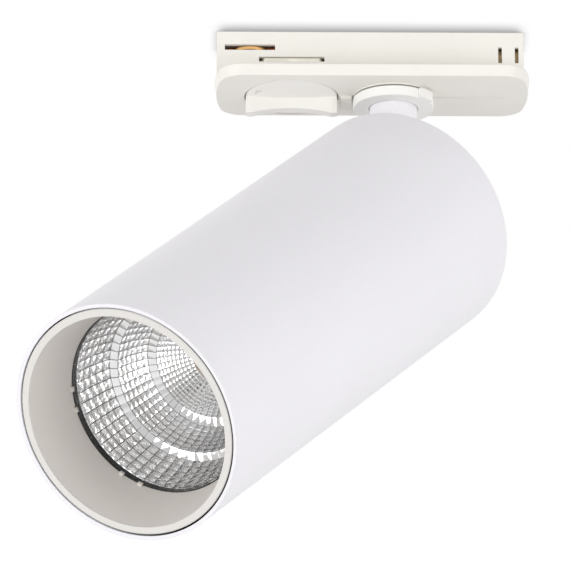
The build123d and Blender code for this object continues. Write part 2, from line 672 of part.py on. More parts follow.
def reflector():
    inside = zone_arc((RING_INNER, REFLECTOR_S), (OUTER_ZONE_END, OUTER_TREAD_S))
    inside += zone_arc((MIDDLE_ZONE_START, OUTER_TREAD_S + TREAD_RISE), (MIDDLE_ZONE_END, INNER_TREAD_S))
    inside += zone_arc((INNER_ZONE_START, INNER_TREAD_S + TREAD_RISE), (REFLECTOR_FOOT, FOOT_S))
    wall = REFLECTOR_WALL
    flange_radius = RING_OUTER - FLANGE_MARGIN
    flange_back = REFLECTOR_S + REFLECTOR_RIM
    outside = [
        (REFLECTOR_FOOT + wall, FOOT_S),
        (INNER_ZONE_START + wall, INNER_TREAD_S + TREAD_RISE + wall),
        (MIDDLE_ZONE_END + wall, INNER_TREAD_S + wall),
        (MIDDLE_ZONE_START + wall, OUTER_TREAD_S + TREAD_RISE + wall),
        (OUTER_ZONE_END + wall, OUTER_TREAD_S + wall),
        (RING_INNER + wall, flange_back),
        (flange_radius, flange_back),
        (flange_radius, REFLECTOR_S),
    ]
    write_head("reflector", revolved(inside + outside))


def holder_screw_places():
    return [polar(HOLDER_RADIUS - 3.5, turn) for turn in (45, 225)]


def wire_hole_place():
    return (0, -HOLDER_RADIUS + 4)


def light_engine():
    board_s = SINK_S - PAD_THICK - COB_THICK
    holder = disc(HOLDER_RADIUS, HOLDER_S, SINK_S)
    holder -= disc(REFLECTOR_FOOT, HOLDER_S - 1, board_s)
    side = COB_SIDE / 2 + FIT_GAP
    holder -= block(-side, side, -side, side, board_s, SINK_S + 1)
    screws = Part()
    for x, y in holder_screw_places():
        holder -= disc(SCREW_RADIUS + THREAD_GAP, HOLDER_S - 1, SINK_S + 1, x, y)
        screws += disc(SCREW_RADIUS, HOLDER_S, SINK_S + SINK_BASE / 2 - 0.2, x, y)
        screws += disc(SCREW_HEAD_RADIUS, HOLDER_S - SCREW_HEAD_HEIGHT, HOLDER_S, x, y)
    x, y = wire_hole_place()
    holder -= disc(WIRE_RADIUS + FIT_GAP, HOLDER_S - 1, SINK_S + 1, x, y)
    half = COB_SIDE / 2
    write_head("cob_holder", holder)
    write_head("holder_screws", screws)
    write_head("thermal_pad", block(-half, half, -half, half, SINK_S - PAD_THICK, SINK_S))
    write_head("cob_board", block(-half, half, -half, half, board_s, board_s + COB_THICK))
    write_head("cob_emitter", disc(EMITTER_RADIUS, board_s - EMITTER_THICK, board_s))


# ---- Head: heat sink ----
def rod_places():
    return [polar(ROD_CIRCLE, ROD_START + number * 360 / ROD_COUNT) for number in range(ROD_COUNT)]


def heat_sink():
    base_top = SINK_S + SINK_BASE
    sink = disc(FIT_RADIUS, SINK_S, base_top)
    sink += disc(SINK_CORE, base_top - 0.5, DRIVER_S)
    for fin in range(FIN_COUNT):
        blade = block(SINK_CORE - 1, FIN_REACH, -FIN_THICK / 2, FIN_THICK / 2, base_top - 0.5, DRIVER_S)
        sink += Rot(0, 0, fin * 360 / FIN_COUNT) * blade
    for x, y in rod_places():
        sink -= disc(ROD_RADIUS + THREAD_GAP, base_top - SINK_BASE / 2, base_top + 1, x, y)
    for x, y in holder_screw_places():
        sink -= disc(SCREW_RADIUS + THREAD_GAP, SINK_S - 1, SINK_S + SINK_BASE / 2, x, y)
    x, y = wire_hole_place()
    sink -= disc(WIRE_RADIUS + FIT_GAP, SINK_S - 1, DRIVER_S + 1, x, y)
    write_head("heat_sink", sink)


def tie_rods():
    rods = Part()
    nuts = Part()
    for x, y in rod_places():
        rods += disc(ROD_RADIUS, SINK_S + SINK_BASE / 2, BRACKET_S + 2 * ROD_RADIUS, x, y)
        hexagon = RegularPolygon(1.75 * ROD_RADIUS, 6, major_radius=False)
        nut = Pos(x, y, BRACKET_S) * extrude(hexagon, 1.6 * ROD_RADIUS)
        nuts += nut - disc(ROD_RADIUS + THREAD_GAP, BRACKET_S - 1, BRACKET_S + 2 * ROD_RADIUS, x, y)
    write_head("tie_rods", rods)
    write_head("rod_nuts", nuts)


# ---- Head: driver ----
def driver_case():
    half_x = DRIVER_WIDTH / 2
    half_y = DRIVER_HEIGHT / 2
    wall = DRIVER_WALL
    case = block(-half_x, half_x, -half_y, half_y, DRIVER_S, CHASSIS_S)
    case -= block(-half_x + wall, half_x - wall, -half_y + wall, half_y - wall,
                  DRIVER_S + wall, CHASSIS_S - wall)
    x, y = driver_wire_place()
    case -= disc(WIRE_RADIUS + FIT_GAP, DRIVER_S - 1, DRIVER_S + wall + 1, x, y)
    case -= disc(WIRE_RADIUS + FIT_GAP, CHASSIS_S - wall - 1, CHASSIS_S + 1, x, y)
    split = board_level() + BOARD_THICK
    far = DRIVER_LENGTH + DRIVER_WIDTH
    lower = block(-far, far, -far, split, DRIVER_S - 1, CHASSIS_S + 1)
    upper = block(-far, far, split, far, DRIVER_S - 1, CHASSIS_S + 1)
    write_head("driver_tray", case & lower)
    write_head("driver_cover", case & upper)


def board_level():
    return -DRIVER_HEIGHT / 2 + DRIVER_WALL + BOARD_FOOT


def driver_wire_place():
    return (0, board_level() + BOARD_THICK + WIRE_RADIUS + FIT_GAP + DRIVER_WALL)


def driver_inside():
    level = board_level()
    top = level + BOARD_THICK
    half_x = DRIVER_WIDTH / 2 - DRIVER_WALL - BOARD_MARGIN
    s_low = DRIVER_S + DRIVER_WALL + BOARD_MARGIN
    s_high = CHASSIS_S - DRIVER_WALL - BOARD_MARGIN
    board = block(-half_x, half_x, level, top, s_low, s_high)
    inset = BOARD_FOOT + BOARD_FOOT_RADIUS
    for x in (-half_x + inset, half_x - inset):
        for s in (s_low + inset, s_high - inset):
            board += rod_y(BOARD_FOOT_RADIUS, level - BOARD_FOOT, level, x, s)
    write_head("driver_board", board)
    wide, tall, deep = TRANSFORMER
    s_mid = (s_low + s_high) / 2
    side = wide / 2
    near = s_mid - deep / 2
    far = s_mid + deep / 2
    core = block(-side, side, top, top + tall, near, far)
    core -= block(-side - 1, -side + 3, top + 3, top + tall - 3, near - 1, far + 1)
    core -= block(side - 3, side + 1, top + 3, top + tall - 3, near - 1, far + 1)
    write_head("driver_transformer", core)
    cans = Part()
    for x in (-half_x + CAPACITOR_RADIUS + 1, half_x - CAPACITOR_RADIUS - 1):
        cans += rod_y(CAPACITOR_RADIUS, top, top + CAPACITOR_HEIGHT, x, s_high - CAPACITOR_RADIUS - 2)
    write_head("driver_capacitors", cans)
    chips = Part()
    for x in (-half_x / 2, half_x / 2):
        chips += Pos(x, top + CHIP[1] / 2, s_low + BOARD_MARGIN + CHIP[2] / 2) * Box(*CHIP)
    write_head("driver_chips", chips)


# ---- Head: chassis, tilt bracket and rear cap ----
def tube_screw_shapes(shank, head):
    """Radial screws that hold the tube on the chassis plate, with heads let into the tube wall."""
    s = CHASSIS_S + CHASSIS_THICK / 2
    seat = TUBE_RADIUS - TUBE_WALL * 0.7
    shapes = Part()
    for angle in TUBE_SCREW_ANGLES:
        screw = rod_x(shank, seat - TUBE_SCREW_LENGTH, seat, 0, s)
        screw += rod_x(head, seat, TUBE_RADIUS - 0.1, 0, s)
        shapes += Rot(0, 0, angle) * screw
    return shapes


def bracket_screw_places():
    x = CHEEK_OUTER + BRACKET_FOOT / 2
    y = CHEEK_HALF_WIDTH - 2.5
    return [(x, y), (x, -y), (-x, y), (-x, -y)]


def leg_places():
    return [polar(LEG_CIRCLE, angle) for angle in LEG_ANGLES]


def chassis_plate():
    plate = disc(FIT_RADIUS, CHASSIS_S, BRACKET_S)
    for x, y in rod_places():
        plate -= disc(ROD_RADIUS + THREAD_GAP, CHASSIS_S - 1, BRACKET_S + 1, x, y)
    for x, y in bracket_screw_places() + leg_places():
        plate -= disc(SCREW_RADIUS + THREAD_GAP, CHASSIS_S + 1, BRACKET_S + 1, x, y)
    x, y = driver_wire_place()
    plate -= disc(WIRE_RADIUS + FIT_GAP, CHASSIS_S - 1, BRACKET_S + 1, x, y)
    plate -= tube_screw_shapes(TUBE_SCREW_RADIUS + THREAD_GAP, TUBE_SCREW_RADIUS + THREAD_GAP)
    write_head("chassis_plate", plate)


def pivot_bracket():
    foot_x = CHEEK_OUTER + BRACKET_FOOT
    foot_top = BRACKET_S + CHEEK_THICK
    half = CHEEK_HALF_WIDTH
    bracket = block(-foot_x, foot_x, -half, half, BRACKET_S, foot_top)
    outline = Polyline([(-half, BRACKET_S + 0.5), (half, BRACKET_S + 0.5), (half, foot_top + 3),
                        (CHEEK_EYE, PIVOT_S), (-CHEEK_EYE, PIVOT_S), (-half, foot_top + 3)], close=True)
    side = make_face(outline)
    for low in (CHEEK_INNER, -CHEEK_OUTER):
        place = Plane(origin=(low, 0, 0), x_dir=(0, 1, 0), z_dir=(1, 0, 0)).location
        cheek = place * extrude(side, CHEEK_THICK)
        cheek += rod_x(CHEEK_EYE, low, low + CHEEK_THICK, 0, PIVOT_S)
        cheek -= rod_x(BOLT_RADIUS + THREAD_GAP, low - 1, low + CHEEK_THICK + 1, 0, PIVOT_S)
        bracket += cheek
    x, y = driver_wire_place()
    bracket -= disc(WIRE_RADIUS + FIT_GAP, BRACKET_S - 1, foot_top + 1, x, y)
    screws = Part()
    for x, y in bracket_screw_places():
        bracket -= disc(SCREW_RADIUS + THREAD_GAP, BRACKET_S - 1, foot_top + 1, x, y)
        screws += disc(SCREW_RADIUS, CHASSIS_S + 1.5, foot_top, x, y)
        screws += disc(SCREW_HEAD_RADIUS, foot_top, foot_top + SCREW_HEAD_HEIGHT, x, y)
    write_head("pivot_bracket", bracket)
    write_head("bracket_screws", screws)


def pivot_fixings():
    bolt = rod_x(BOLT_RADIUS, -CHEEK_OUTER - 4.5, CHEEK_OUTER, 0, PIVOT_S)
    bolt += rod_x(BOLT_HEAD, CHEEK_OUTER, CHEEK_OUTER + BOLT_HEAD_THICK, 0, PIVOT_S)
    socket = RegularPolygon(2.0, 6)
    face = CHEEK_OUTER + BOLT_HEAD_THICK
    place = Plane(origin=(face, 0, PIVOT_S), x_dir=(0, 1, 0), z_dir=(-1, 0, 0)).location
    bolt -= place * extrude(socket, 1.8)
    hexagon = RegularPolygon(NUT_FLATS / 2, 6, major_radius=False)
    place = Plane(origin=(-CHEEK_OUTER, 0, PIVOT_S), x_dir=(0, 1, 0), z_dir=(-1, 0, 0)).location
    nut = place * extrude(hexagon, 1.6 * BOLT_RADIUS)
    nut -= rod_x(BOLT_RADIUS + THREAD_GAP, -CHEEK_OUTER - 10, -CHEEK_OUTER + 1, 0, PIVOT_S)
    washers = Part()
    for low in (-CHEEK_INNER, TONGUE_THICK / 2):
        washer = rod_x(CHEEK_EYE, low, low + FRICTION_WASHER, 0, PIVOT_S)
        washers += washer - rod_x(BOLT_RADIUS + THREAD_GAP, low - 1, low + 2, 0, PIVOT_S)
    write_head("pivot_bolt", bolt)
    write_head("pivot_nut", nut)
    write_head("friction_washers", washers)


def rear_cap():
    cap = disc(FIT_RADIUS, CAP_S, TUBE_LENGTH)
    slot_half = STEM_RADIUS + CAP_SLOT_GAP
    cap -= block(-slot_half, slot_half, 0, TUBE_RADIUS, CAP_S - 1, TUBE_LENGTH + 1)
    cap -= block(-CAP_WINDOW_X, CAP_WINDOW_X, -CAP_WINDOW_Y, CAP_WINDOW_Y, CAP_S - 1, TUBE_LENGTH + 1)
    standoffs = Part()
    screws = Part()
    seat = TUBE_LENGTH - SCREW_HEAD_HEIGHT - HEAD_RECESS
    top = TUBE_LENGTH - HEAD_RECESS
    for x, y in leg_places():
        cap -= disc(SCREW_RADIUS + THREAD_GAP, CAP_S - 1, TUBE_LENGTH + 1, x, y)
        cap -= disc(SCREW_HEAD_RADIUS + THREAD_GAP, seat, TUBE_LENGTH + 1, x, y)
        standoffs += ring(LEG_RADIUS, SCREW_RADIUS + LEG_BORE_GAP, BRACKET_S, CAP_S, x, y)
        screw = disc(SCREW_RADIUS, CHASSIS_S + CHASSIS_THICK / 4, seat, x, y)
        screw += disc(SCREW_HEAD_RADIUS, seat, top, x, y)
        half = SCREW_RADIUS / 4
        groove = block(x - SCREW_HEAD_RADIUS, x + SCREW_HEAD_RADIUS, y - half, y + half,
                       top - SCREW_HEAD_HEIGHT / 2, top + 1)
        screws += screw - groove
    write_head("rear_cap", cap)
    write_head("cap_standoffs", standoffs)
    write_head("cap_screws", screws)


def head_wires():
    x, y = wire_hole_place()
    write_head("led_wire", disc(WIRE_RADIUS, HOLDER_S, DRIVER_S, x, y))
    x, y = driver_wire_place()
    start = CHASSIS_S - DRIVER_WALL - 3
    write_head("driver_wire", disc(WIRE_RADIUS, start, BRACKET_S + CHEEK_THICK, x, y))


# ---- Everything ----
def main():
    os.makedirs("parts", exist_ok=True)
    shells()
    shell_screws()
    earth_contact()
    terminal_block()
    lock_lever()
    locking_wing()
    contact_cam()
    lever_screw()
    contacts()
    stem_collar()
    stem_tube()
    stem_fixings()
    pivot_tongue()
    stem_wires()
    head_tube()
    front_baffle()
    lock_ring()
    reflector()
    light_engine()
    heat_sink()
    tie_rods()
    driver_case()
    driver_inside()
    chassis_plate()
    write_head("tube_screws", tube_screw_shapes(TUBE_SCREW_RADIUS, TUBE_SCREW_HEAD))
    pivot_bracket()
    pivot_fixings()
    rear_cap()
    head_wires()


main()
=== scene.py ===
"""Track spotlight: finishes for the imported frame, the faceted reflector and the stage.

Laid out as an add-on and run as a script. Lengths are in metres.
"""

import json
import math

import bmesh
import bpy
from bpy.props import FloatProperty, FloatVectorProperty, IntProperty, PointerProperty
from mathutils import Matrix, Vector


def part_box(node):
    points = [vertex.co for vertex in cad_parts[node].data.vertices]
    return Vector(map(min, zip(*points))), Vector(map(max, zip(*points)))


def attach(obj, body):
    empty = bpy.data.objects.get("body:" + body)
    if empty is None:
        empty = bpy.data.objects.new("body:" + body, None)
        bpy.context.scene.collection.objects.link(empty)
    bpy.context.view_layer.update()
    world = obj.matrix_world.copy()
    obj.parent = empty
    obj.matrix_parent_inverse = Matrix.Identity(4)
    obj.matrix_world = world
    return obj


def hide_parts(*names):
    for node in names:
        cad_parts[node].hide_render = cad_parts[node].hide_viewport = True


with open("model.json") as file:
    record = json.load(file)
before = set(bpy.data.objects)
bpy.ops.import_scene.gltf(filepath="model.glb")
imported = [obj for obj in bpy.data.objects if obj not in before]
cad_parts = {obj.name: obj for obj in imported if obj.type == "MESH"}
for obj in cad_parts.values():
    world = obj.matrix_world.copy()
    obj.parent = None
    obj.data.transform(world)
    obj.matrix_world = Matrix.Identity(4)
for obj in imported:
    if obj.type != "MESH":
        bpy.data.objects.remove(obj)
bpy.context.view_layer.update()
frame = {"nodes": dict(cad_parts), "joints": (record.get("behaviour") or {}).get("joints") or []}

bl_info = {
    "name": "Track Spotlight",
    "version": (1, 0, 0),
    "blender": (4, 5, 0),
    "location": "View3D > Sidebar > Spotlight",
    "description": "Finishes, faceted reflector and studio for a track spotlight",
    "category": "Object",
}

MM = 0.001
WHITE = (1, 1, 1, 1)
MARK_START = 195.0         # degrees from +X about the lever's axis
MARK_END = 207.0
MARK_HALF = 0.28 * MM      # half the width of the turn mark's line
MARK_STEPS = 12
MARK_HEAD_SHARE = 0.3      # length of an arrow head, as a share of the arc
MARK_HEAD_WIDTH = 4        # width of an arrow head, in widths of the line
LEVER_GAP_IN = 0.06 * MM   # painted gap shade on the lever's upright edge, either side of its radius
LEVER_GAP_NEAR = 0.2 * MM  # painted gap shade on the shell's wall around it, from here beyond the radius
LEVER_GAP_FAR = 0.5 * MM   # to here beyond it
SUNK_MIDDLE = 1.35 * MM    # height of the gap's walls above the lever's hub
SUNK_HALF = 1.1 * MM
BORE_SHADE_DEPTH = 18 * MM       # depth of the painted shade in the bore behind the tube's front face
BORE_SKIN = 0.04 * MM      # how far a wall's points may stand off its radius
BAFFLE_SKIN = 0.03 * MM
LIP_START = 0.3 * MM       # stations between which the lip turns into the inner wall, greyer with painted shade
LIP_END = 1.2 * MM
FACET_LINES = (0.3, 0.5, 0.7)  # grid lines across a facet, between its grooves
RIM_THICK = 1.0 * MM
CRISP_ANGLE = math.radians(28)
DOME_RINGS = 8
DOME_SIDES = 48
CEILING_GAP = 0.3 * MM
TOP_SKIN = 1.0 * MM        # how far below the top face the box's ends are read
CONTACT_OPEN = (0.5, 0.985)  # openness between which the shadow around the box fades
SHELTERED = (-0.8, -0.6)   # way to the head's sheltered side, where the gap's painted shade is darkest, across and up
SHELTER_FADE = (-0.1, 0.8)
SKY_FALL = (-0.1, 0.9)     # heights, as sines, between which the sky softens to its tone overhead
MIRROR_RISE = (-0.95, 0.0)  # heights between which mirrors see it brighten
MIRROR_TONES = (0.4, 1.1)
ROOM_CONE = (0.86, 0.97)   # cosines about the camera between which mirrors see the dark room


def paint(red, green, blue):
    """A colour written as it shows on screen, from 0 to 255, as the linear values that Blender keeps."""
    values = []
    for channel in (red, green, blue):
        share = channel / 255
        values.append(share / 12.92 if share <= 0.04045 else ((share + 0.055) / 1.055) ** 2.4)
    return tuple(values)


# ---- The head's own frame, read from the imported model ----
def joint(name):
    """The record's joint with this name."""
    return next(entry for entry in frame["joints"] if entry["name"] == name)


def node_points(name):
    """Corners of a frame node's mesh."""
    return [vertex.co.copy() for vertex in frame["nodes"][name].data.vertices]


def lever_radius():
    """Radius of the locking lever's disc."""
    low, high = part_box("lock_lever")
    return (high.x - low.x) / 2


class HeadFrame:
    """Stations run back from the front face along the head's axis, and X lies along the tilt axis."""

    def __init__(self):
        tilt = joint("tilt")
        pivot = Vector(tilt["pos_m"])
        self.pivot = pivot
        low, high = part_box("cob_emitter")
        self.back = (pivot - (low + high) / 2).normalized()
        self.across = Vector(tilt["axis"]).normalized()
        self.up = self.back.cross(self.across).normalized()
        reach = [(point - pivot).dot(self.back) for point in node_points("head_tube")]
        self.front = pivot + self.back * min(reach)
        turn = Matrix((self.across, self.up, self.back)).transposed().to_4x4()
        self.matrix = Matrix.Translation(self.front) @ turn

    def stations(self, name):
        """First and last station of a node."""
        spans = [(point - self.front).dot(self.back) for point in node_points(name)]
        return min(spans), max(spans)

    def radii(self, name):
        """Smallest and largest distance of a node's corners from the head's axis."""
        found = []
        for point in node_points(name):
            out = point - self.front
            found.append((out - self.back * out.dot(self.back)).length)
        return min(found), max(found)


HEAD = HeadFrame()


# ---- Sizes and colours that a user would change ----
def length(name, description, default, low=0.0):
    return FloatProperty(name=name, description=description, default=default, min=low, precision=5,
                         subtype="DISTANCE", unit="LENGTH")


def colour(name, description, default):
    return FloatVectorProperty(name=name, description=description, default=default, size=3, min=0.0,
                               max=1.0, subtype="COLOR")


def share(name, description, default, top=1.0):
    return FloatProperty(name=name, description=description, default=default, min=0.0, max=top,
                         subtype="FACTOR")


def angle(name, description, degrees):
    return FloatProperty(name=name, description=description, default=math.radians(degrees), subtype="ANGLE")


def power(name, description, default):
    return FloatProperty(name=name, description=description, default=default, min=0.0, subtype="POWER",
                         unit="POWER")


def spot(name, description, default):
    return FloatVectorProperty(name=name, description=description, default=default, size=3,
                               subtype="TRANSLATION", unit="LENGTH")


def rows(name, description, default):
    return IntProperty(name=name, description=description, default=default, min=1)


class AdapterFinish(bpy.types.PropertyGroup):
    """Plastics of the track adapter, its lever and the stem's collar."""

    shell_colour: colour("Shell colour", "Warm white of the two adapter shells", paint(243, 240, 233))
    lever_colour: colour("Lever colour", "White of the locking lever", paint(248, 246, 241))
    collar_colour: colour("Collar colour", "White of the stem's collar", paint(250, 249, 246))
    gloss_roughness: share("Roughness", "Roughness of the moulded surfaces", 0.42)
    grain_size: length("Grain size", "Distance between the grains of the spark-eroded surface", 0.35 * MM)
    edge_round: length("Edge rounding", "Radius of the moulded edges", 0.35 * MM)
    # Painted shade: the darker tone laid on the walls of the gap around the lever.
    gap_shade_colour: colour("Gap shade colour", "Painted shade on the walls of the gap around the lever", paint(120, 118, 114))
    mark_colour: colour("Mark colour", "Tone of the turn mark on the lever", paint(222, 220, 214))
    mark_radius: length("Mark radius", "Distance of the turn mark from the lever's axis", 11.9 * MM)
    mark_height: length("Mark height", "How far the turn mark stands off the disc", 0.22 * MM)


class HeadFinish(bpy.types.PropertyGroup):
    """Powder coat of the tube and the stem, and the plastic of the baffle."""

    tube_colour: colour("Tube colour", "Cool white powder coat", paint(243, 241, 245))
    stem_colour: colour("Stem colour", "Cool white powder coat of the stem", paint(249, 247, 251))
    lip_colour: colour("Lip colour", "Matte white of the baffle's front lip", paint(224, 221, 217))
    # Painted shade: the inner wall is given a greyer tone than the lip.
    baffle_shaded_colour: colour("Baffle colour", "Matte white of the baffle's inner wall, greyed with painted shade", paint(220, 215, 210))
    # Painted shade in the gap between the tube and the baffle: pale on the lit side, dark on the sheltered
    # side.
    gap_shade_colour: colour("Gap shade colour", "Painted shade on the bore and the baffle's wall inside it", paint(226, 226, 228))
    deep_shade_colour: colour("Deep gap shade colour", "The same on the sheltered side", paint(16, 16, 18))
    coat_roughness: share("Coat roughness", "Roughness of the powder coat", 0.5)
    peel_size: length("Peel size", "Distance between the waves of the powder coat", 0.9 * MM)
    edge_round: length("Edge rounding", "Radius of the tube's cut edges", 0.25 * MM)


class ReflectorShape(bpy.types.PropertyGroup):
    """Facets of the metallised reflector."""

    facets: IntProperty(name="Facets around", description="Facets in each row", default=54, min=12, max=120)
    outer_rows: rows("Outer rows", "Rows in the wide zone at the mouth", 5)
    middle_rows: rows("Middle rows", "Rows in the middle zone", 6)
    inner_rows: rows("Inner rows", "Rows in the zone near the light", 9)
    outer_end: length("Outer zone end", "Radius where the outer zone meets its tread", 26.3 * MM)
    middle_start: length("Middle zone start", "Radius where the middle zone starts", 23.8 * MM)
    middle_end: length("Middle zone end", "Radius where the middle zone meets its tread", 19.6 * MM)
    inner_start: length("Inner zone start", "Radius where the inner zone starts", 16.8 * MM)
    foot: length("Foot radius", "Radius of the hole around the light", 9.0 * MM)
    wall: length("Wall", "Thickness of the moulding", 1.2 * MM)
    outer_depth: share("Outer tread depth", "Share of the depth at the outer tread", 0.417)
    inner_depth: share("Inner tread depth", "Share of the depth at the inner tread", 0.754)
    tread_rise: length("Tread rise", "Depth of each tread", 0.7 * MM)
    zone_bow: length("Zone bow", "How far each zone's wall bows out", 0.5 * MM)
    rim: length("Rim", "Plain band between the mouth and the first row", 0.6 * MM)
    pillow: share("Pillow", "Height of each facet's crown, as a share of its shorter side", 0.1)
    tread_pillow: share("Tread pillow", "Crown of the facets on the treads", 0.03)
    groove: share("Groove", "Width of the groove around each facet, as a share of the facet", 0.045, 0.2)
    groove_share: share("Groove depth", "Share of the crown that stands at the groove", 0.2)
    # Painted shade: the darker metal laid on the groove strips between facets.
    groove_shade_colour: colour("Groove shade colour", "Painted shade on the metal in the grooves", (0.3, 0.3, 0.31))
    metal_colour: colour("Metal colour", "Vacuum metallised surface", (0.96, 0.96, 0.962))
    metal_roughness: share("Metal roughness", "Roughness of the metallised surface", 0.04)


class LightSource(bpy.types.PropertyGroup):
    """The light-emitting surface behind the reflector."""

    phosphor_colour: colour("Phosphor colour", "Peach tone of the unlit phosphor", paint(238, 188, 152))
    mirrored_colour: colour("Mirrored colour", "Tone of the phosphor in the facets", paint(205, 203, 200))
    crown: length("Crown", "How far the middle of the phosphor stands above its edge", 0.25 * MM)


class Studio(bpy.types.PropertyGroup):
    """Camera, lamps, floor and ceiling."""

    yaw: angle("Yaw", "Turn of the camera about the vertical", 0.7)
    look_up: angle("Look up", "How far the camera looks up", 20.0)
    lens: FloatProperty(name="Lens", description="Focal length in millimetres", default=455.4, min=1.0)
    distance: length("Distance", "Camera to the point it aims at", 2.285)
    aim_left: length("Aim left", "Aim to the left of the tilt axis", 34.56 * MM)
    aim_down: length("Aim down", "Aim below the tilt axis", 17.4 * MM)
    key_power: power("Key power", "Power of the main soft box", 12.4)
    key_place: spot("Key place", "Middle of the main soft box", (1.5, -1.25, -0.95))
    key_size: length("Key size", "Side of the main soft box", 1.1)
    fill_power: power("Fill power", "Power of the soft box on the other side", 15.2)
    fill_place: spot("Fill place", "Middle of the soft box on the other side", (-1.6, -1.3, -0.5))
    fill_size: length("Fill size", "Side of the soft box on the other side", 1.0)
    room_tone: share("Room tone", "What mirrors see of the dark room around the camera", 0.08)
    sky: share("Sky", "Strength of the plain white surroundings", 0.82, 10.0)
    top_share: share("Top share", "Strength of the surroundings overhead, as a share of the sides", 0.74)
    floor_drop: length("Floor drop", "Ceiling to floor", 1.6)
    floor_half: length("Floor half", "Half the side of the floor", 6.0)
    paper_colour: colour("Paper colour", "Pale floor", paint(244, 244, 244))
    paper_glow: share("Paper glow", "Light added to the floor where the camera sees it", 0.33)
    ceiling_half: length("Ceiling half", "Half the side of the piece of ceiling above the adapter", 0.16)
    contact_reach: length("Contact reach", "Reach of the soft shadow around the box", 9.5 * MM)
    contact_tone: share("Contact tone", "Darkest tone of the soft shadow around the box", 0.42)
    contact_fade: length("Contact fade", "Width over which it fades past the box's ends", 6.0 * MM)


# ---- Nodes ----
def node(tree, kind, place, values=None, **settings):
    """Adds a node at a grid place. Values go to its inputs, as constants or as other nodes' outputs."""
    made = tree.nodes.new(kind)
    made.location = (place[0] * 190, -place[1] * 170)
    for key, value in settings.items():
        setattr(made, key, value)
    for key, value in (values or {}).items():
        if isinstance(value, bpy.types.NodeSocket):
            tree.links.new(value, made.inputs[key])
        else:
            made.inputs[key].default_value = value
    return made


def calc(tree, place, operation, *values, **settings):
    """Result of a maths node."""
    made = node(tree, "ShaderNodeMath", place, dict(enumerate(values)), operation=operation, **settings)
    return made.outputs[0]


def vector_calc(tree, place, operation, *values):
    """Outputs of a vector maths node."""
    made = node(tree, "ShaderNodeVectorMath", place, dict(enumerate(values)), operation=operation)
    return made.outputs


def spread(tree, place, value, low, high, to_low=0.0, to_high=1.0, soft=False):
    """A value moved from one range to another and held at its ends."""
    made = node(tree, "ShaderNodeMapRange", place,
                {"Value": value, "From Min": low, "From Max": high, "To Min": to_low, "To Max": to_high},
                interpolation_type="SMOOTHSTEP" if soft else "LINEAR")
    return made.outputs["Result"]


def mix_colour(tree, place, mask, first, second, blend="MIX"):
    """Colour that goes from first to second with a mask."""
    made = node(tree, "ShaderNodeMix", place, {0: mask, 6: first, 7: second}, data_type="RGBA",
                blend_type=blend)
    return made.outputs[2]


def mix_number(tree, place, mask, first, second):
    made = node(tree, "ShaderNodeMix", place, {0: mask, 2: first, 3: second}, data_type="FLOAT")
    return made.outputs[0]


def mix_shader(tree, place, mask, first, second):
    return node(tree, "ShaderNodeMixShader", place, {0: mask, 1: first, 2: second}).outputs[0]


def noise(tree, place, where, scale, detail, roughness):
    made = node(tree, "ShaderNodeTexNoise", place,
                {"Vector": where, "Scale": scale, "Detail": detail, "Roughness": roughness})
    return made.outputs["Fac"]


def object_place(tree, place=(0, 1)):
    return node(tree, "ShaderNodeTexCoord", place).outputs["Object"]


# ---- Shared effects, each a node group made once ----
def new_group(name, inputs, outputs):
    """A node group with its sockets, and the outputs of its input node."""
    tree = bpy.data.node_groups.new(name, "ShaderNodeTree")
    for label, default in inputs:
        kind = "NodeSocketVector" if isinstance(default, tuple) else "NodeSocketFloat"
        made = tree.interface.new_socket(name=label, in_out="INPUT", socket_type=kind)
        made.default_value = default
        made.min_value = 0.0
    for label in outputs:
        tree.interface.new_socket(name=label, in_out="OUTPUT", socket_type="NodeSocketFloat")
    return tree, node(tree, "NodeGroupInput", (0, 0)).outputs


def fine_grain_group():
    """Height and tone of a fine irregular grain, such as spark-eroded plastic or powder coat."""
    tree, entry = new_group("fine_grain", (("Size", 0.4 * MM), ("Coarseness", 0.4)), ("Height", "Tone"))
    where = object_place(tree)
    scale = calc(tree, (1, 0), "DIVIDE", 1.0, entry["Size"])
    small = noise(tree, (3, 0), where, scale, 3.0, 0.55)
    large = noise(tree, (3, 2), where, calc(tree, (2, 2), "MULTIPLY", scale, 0.31), 2.0, 0.5)
    height = mix_number(tree, (4, 0), entry["Coarseness"], small, large)
    tone = spread(tree, (5, 1), large, 0.3, 0.7)
    node(tree, "NodeGroupOutput", (6, 0), {"Height": height, "Tone": tone})
    return tree


def handling_group():
    """Mask of faint rubs and hairline scuffs left by handling."""
    tree, entry = new_group("handling_marks", (("Patch size", 9 * MM), ("Amount", 0.5)), ("Mask",))
    where = object_place(tree)
    scale = calc(tree, (1, 0), "DIVIDE", 1.0, entry["Patch size"])
    turned = node(tree, "ShaderNodeMapping", (1, 2),
                  {"Vector": where, "Rotation": (0.4, 0.9, 0.6), "Scale": (900, 60, 2600)}).outputs[0]
    patches = spread(tree, (3, 0), noise(tree, (2, 0), where, scale, 5.0, 0.6), 0.5, 0.72)
    hairs = spread(tree, (3, 2), noise(tree, (2, 2), turned, 1.0, 2.0, 0.7), 0.58, 0.66)
    both = calc(tree, (4, 1), "MULTIPLY", patches, hairs)
    total = calc(tree, (6, 1), "ADD", both, calc(tree, (5, 1), "MULTIPLY", patches, 0.35))
    mask = calc(tree, (7, 1), "MULTIPLY", total, entry["Amount"], use_clamp=True)
    node(tree, "NodeGroupOutput", (8, 0), {"Mask": mask})
    return tree


def brushed_group():
    """Height and tone of fine lines along one direction, as rolled or brushed metal has."""
    tree, entry = new_group("brushed_lines", (("Stretch", (40.0, 4000.0, 4000.0)),), ("Height", "Tone"))
    scaled = vector_calc(tree, (1, 0), "MULTIPLY", object_place(tree), entry["Stretch"])[0]
    lines = noise(tree, (2, 0), scaled, 1.0, 3.0, 0.6)
    tone = spread(tree, (3, 1), lines, 0.3, 0.7)
    node(tree, "NodeGroupOutput", (4, 0), {"Height": lines, "Tone": tone})
    return tree


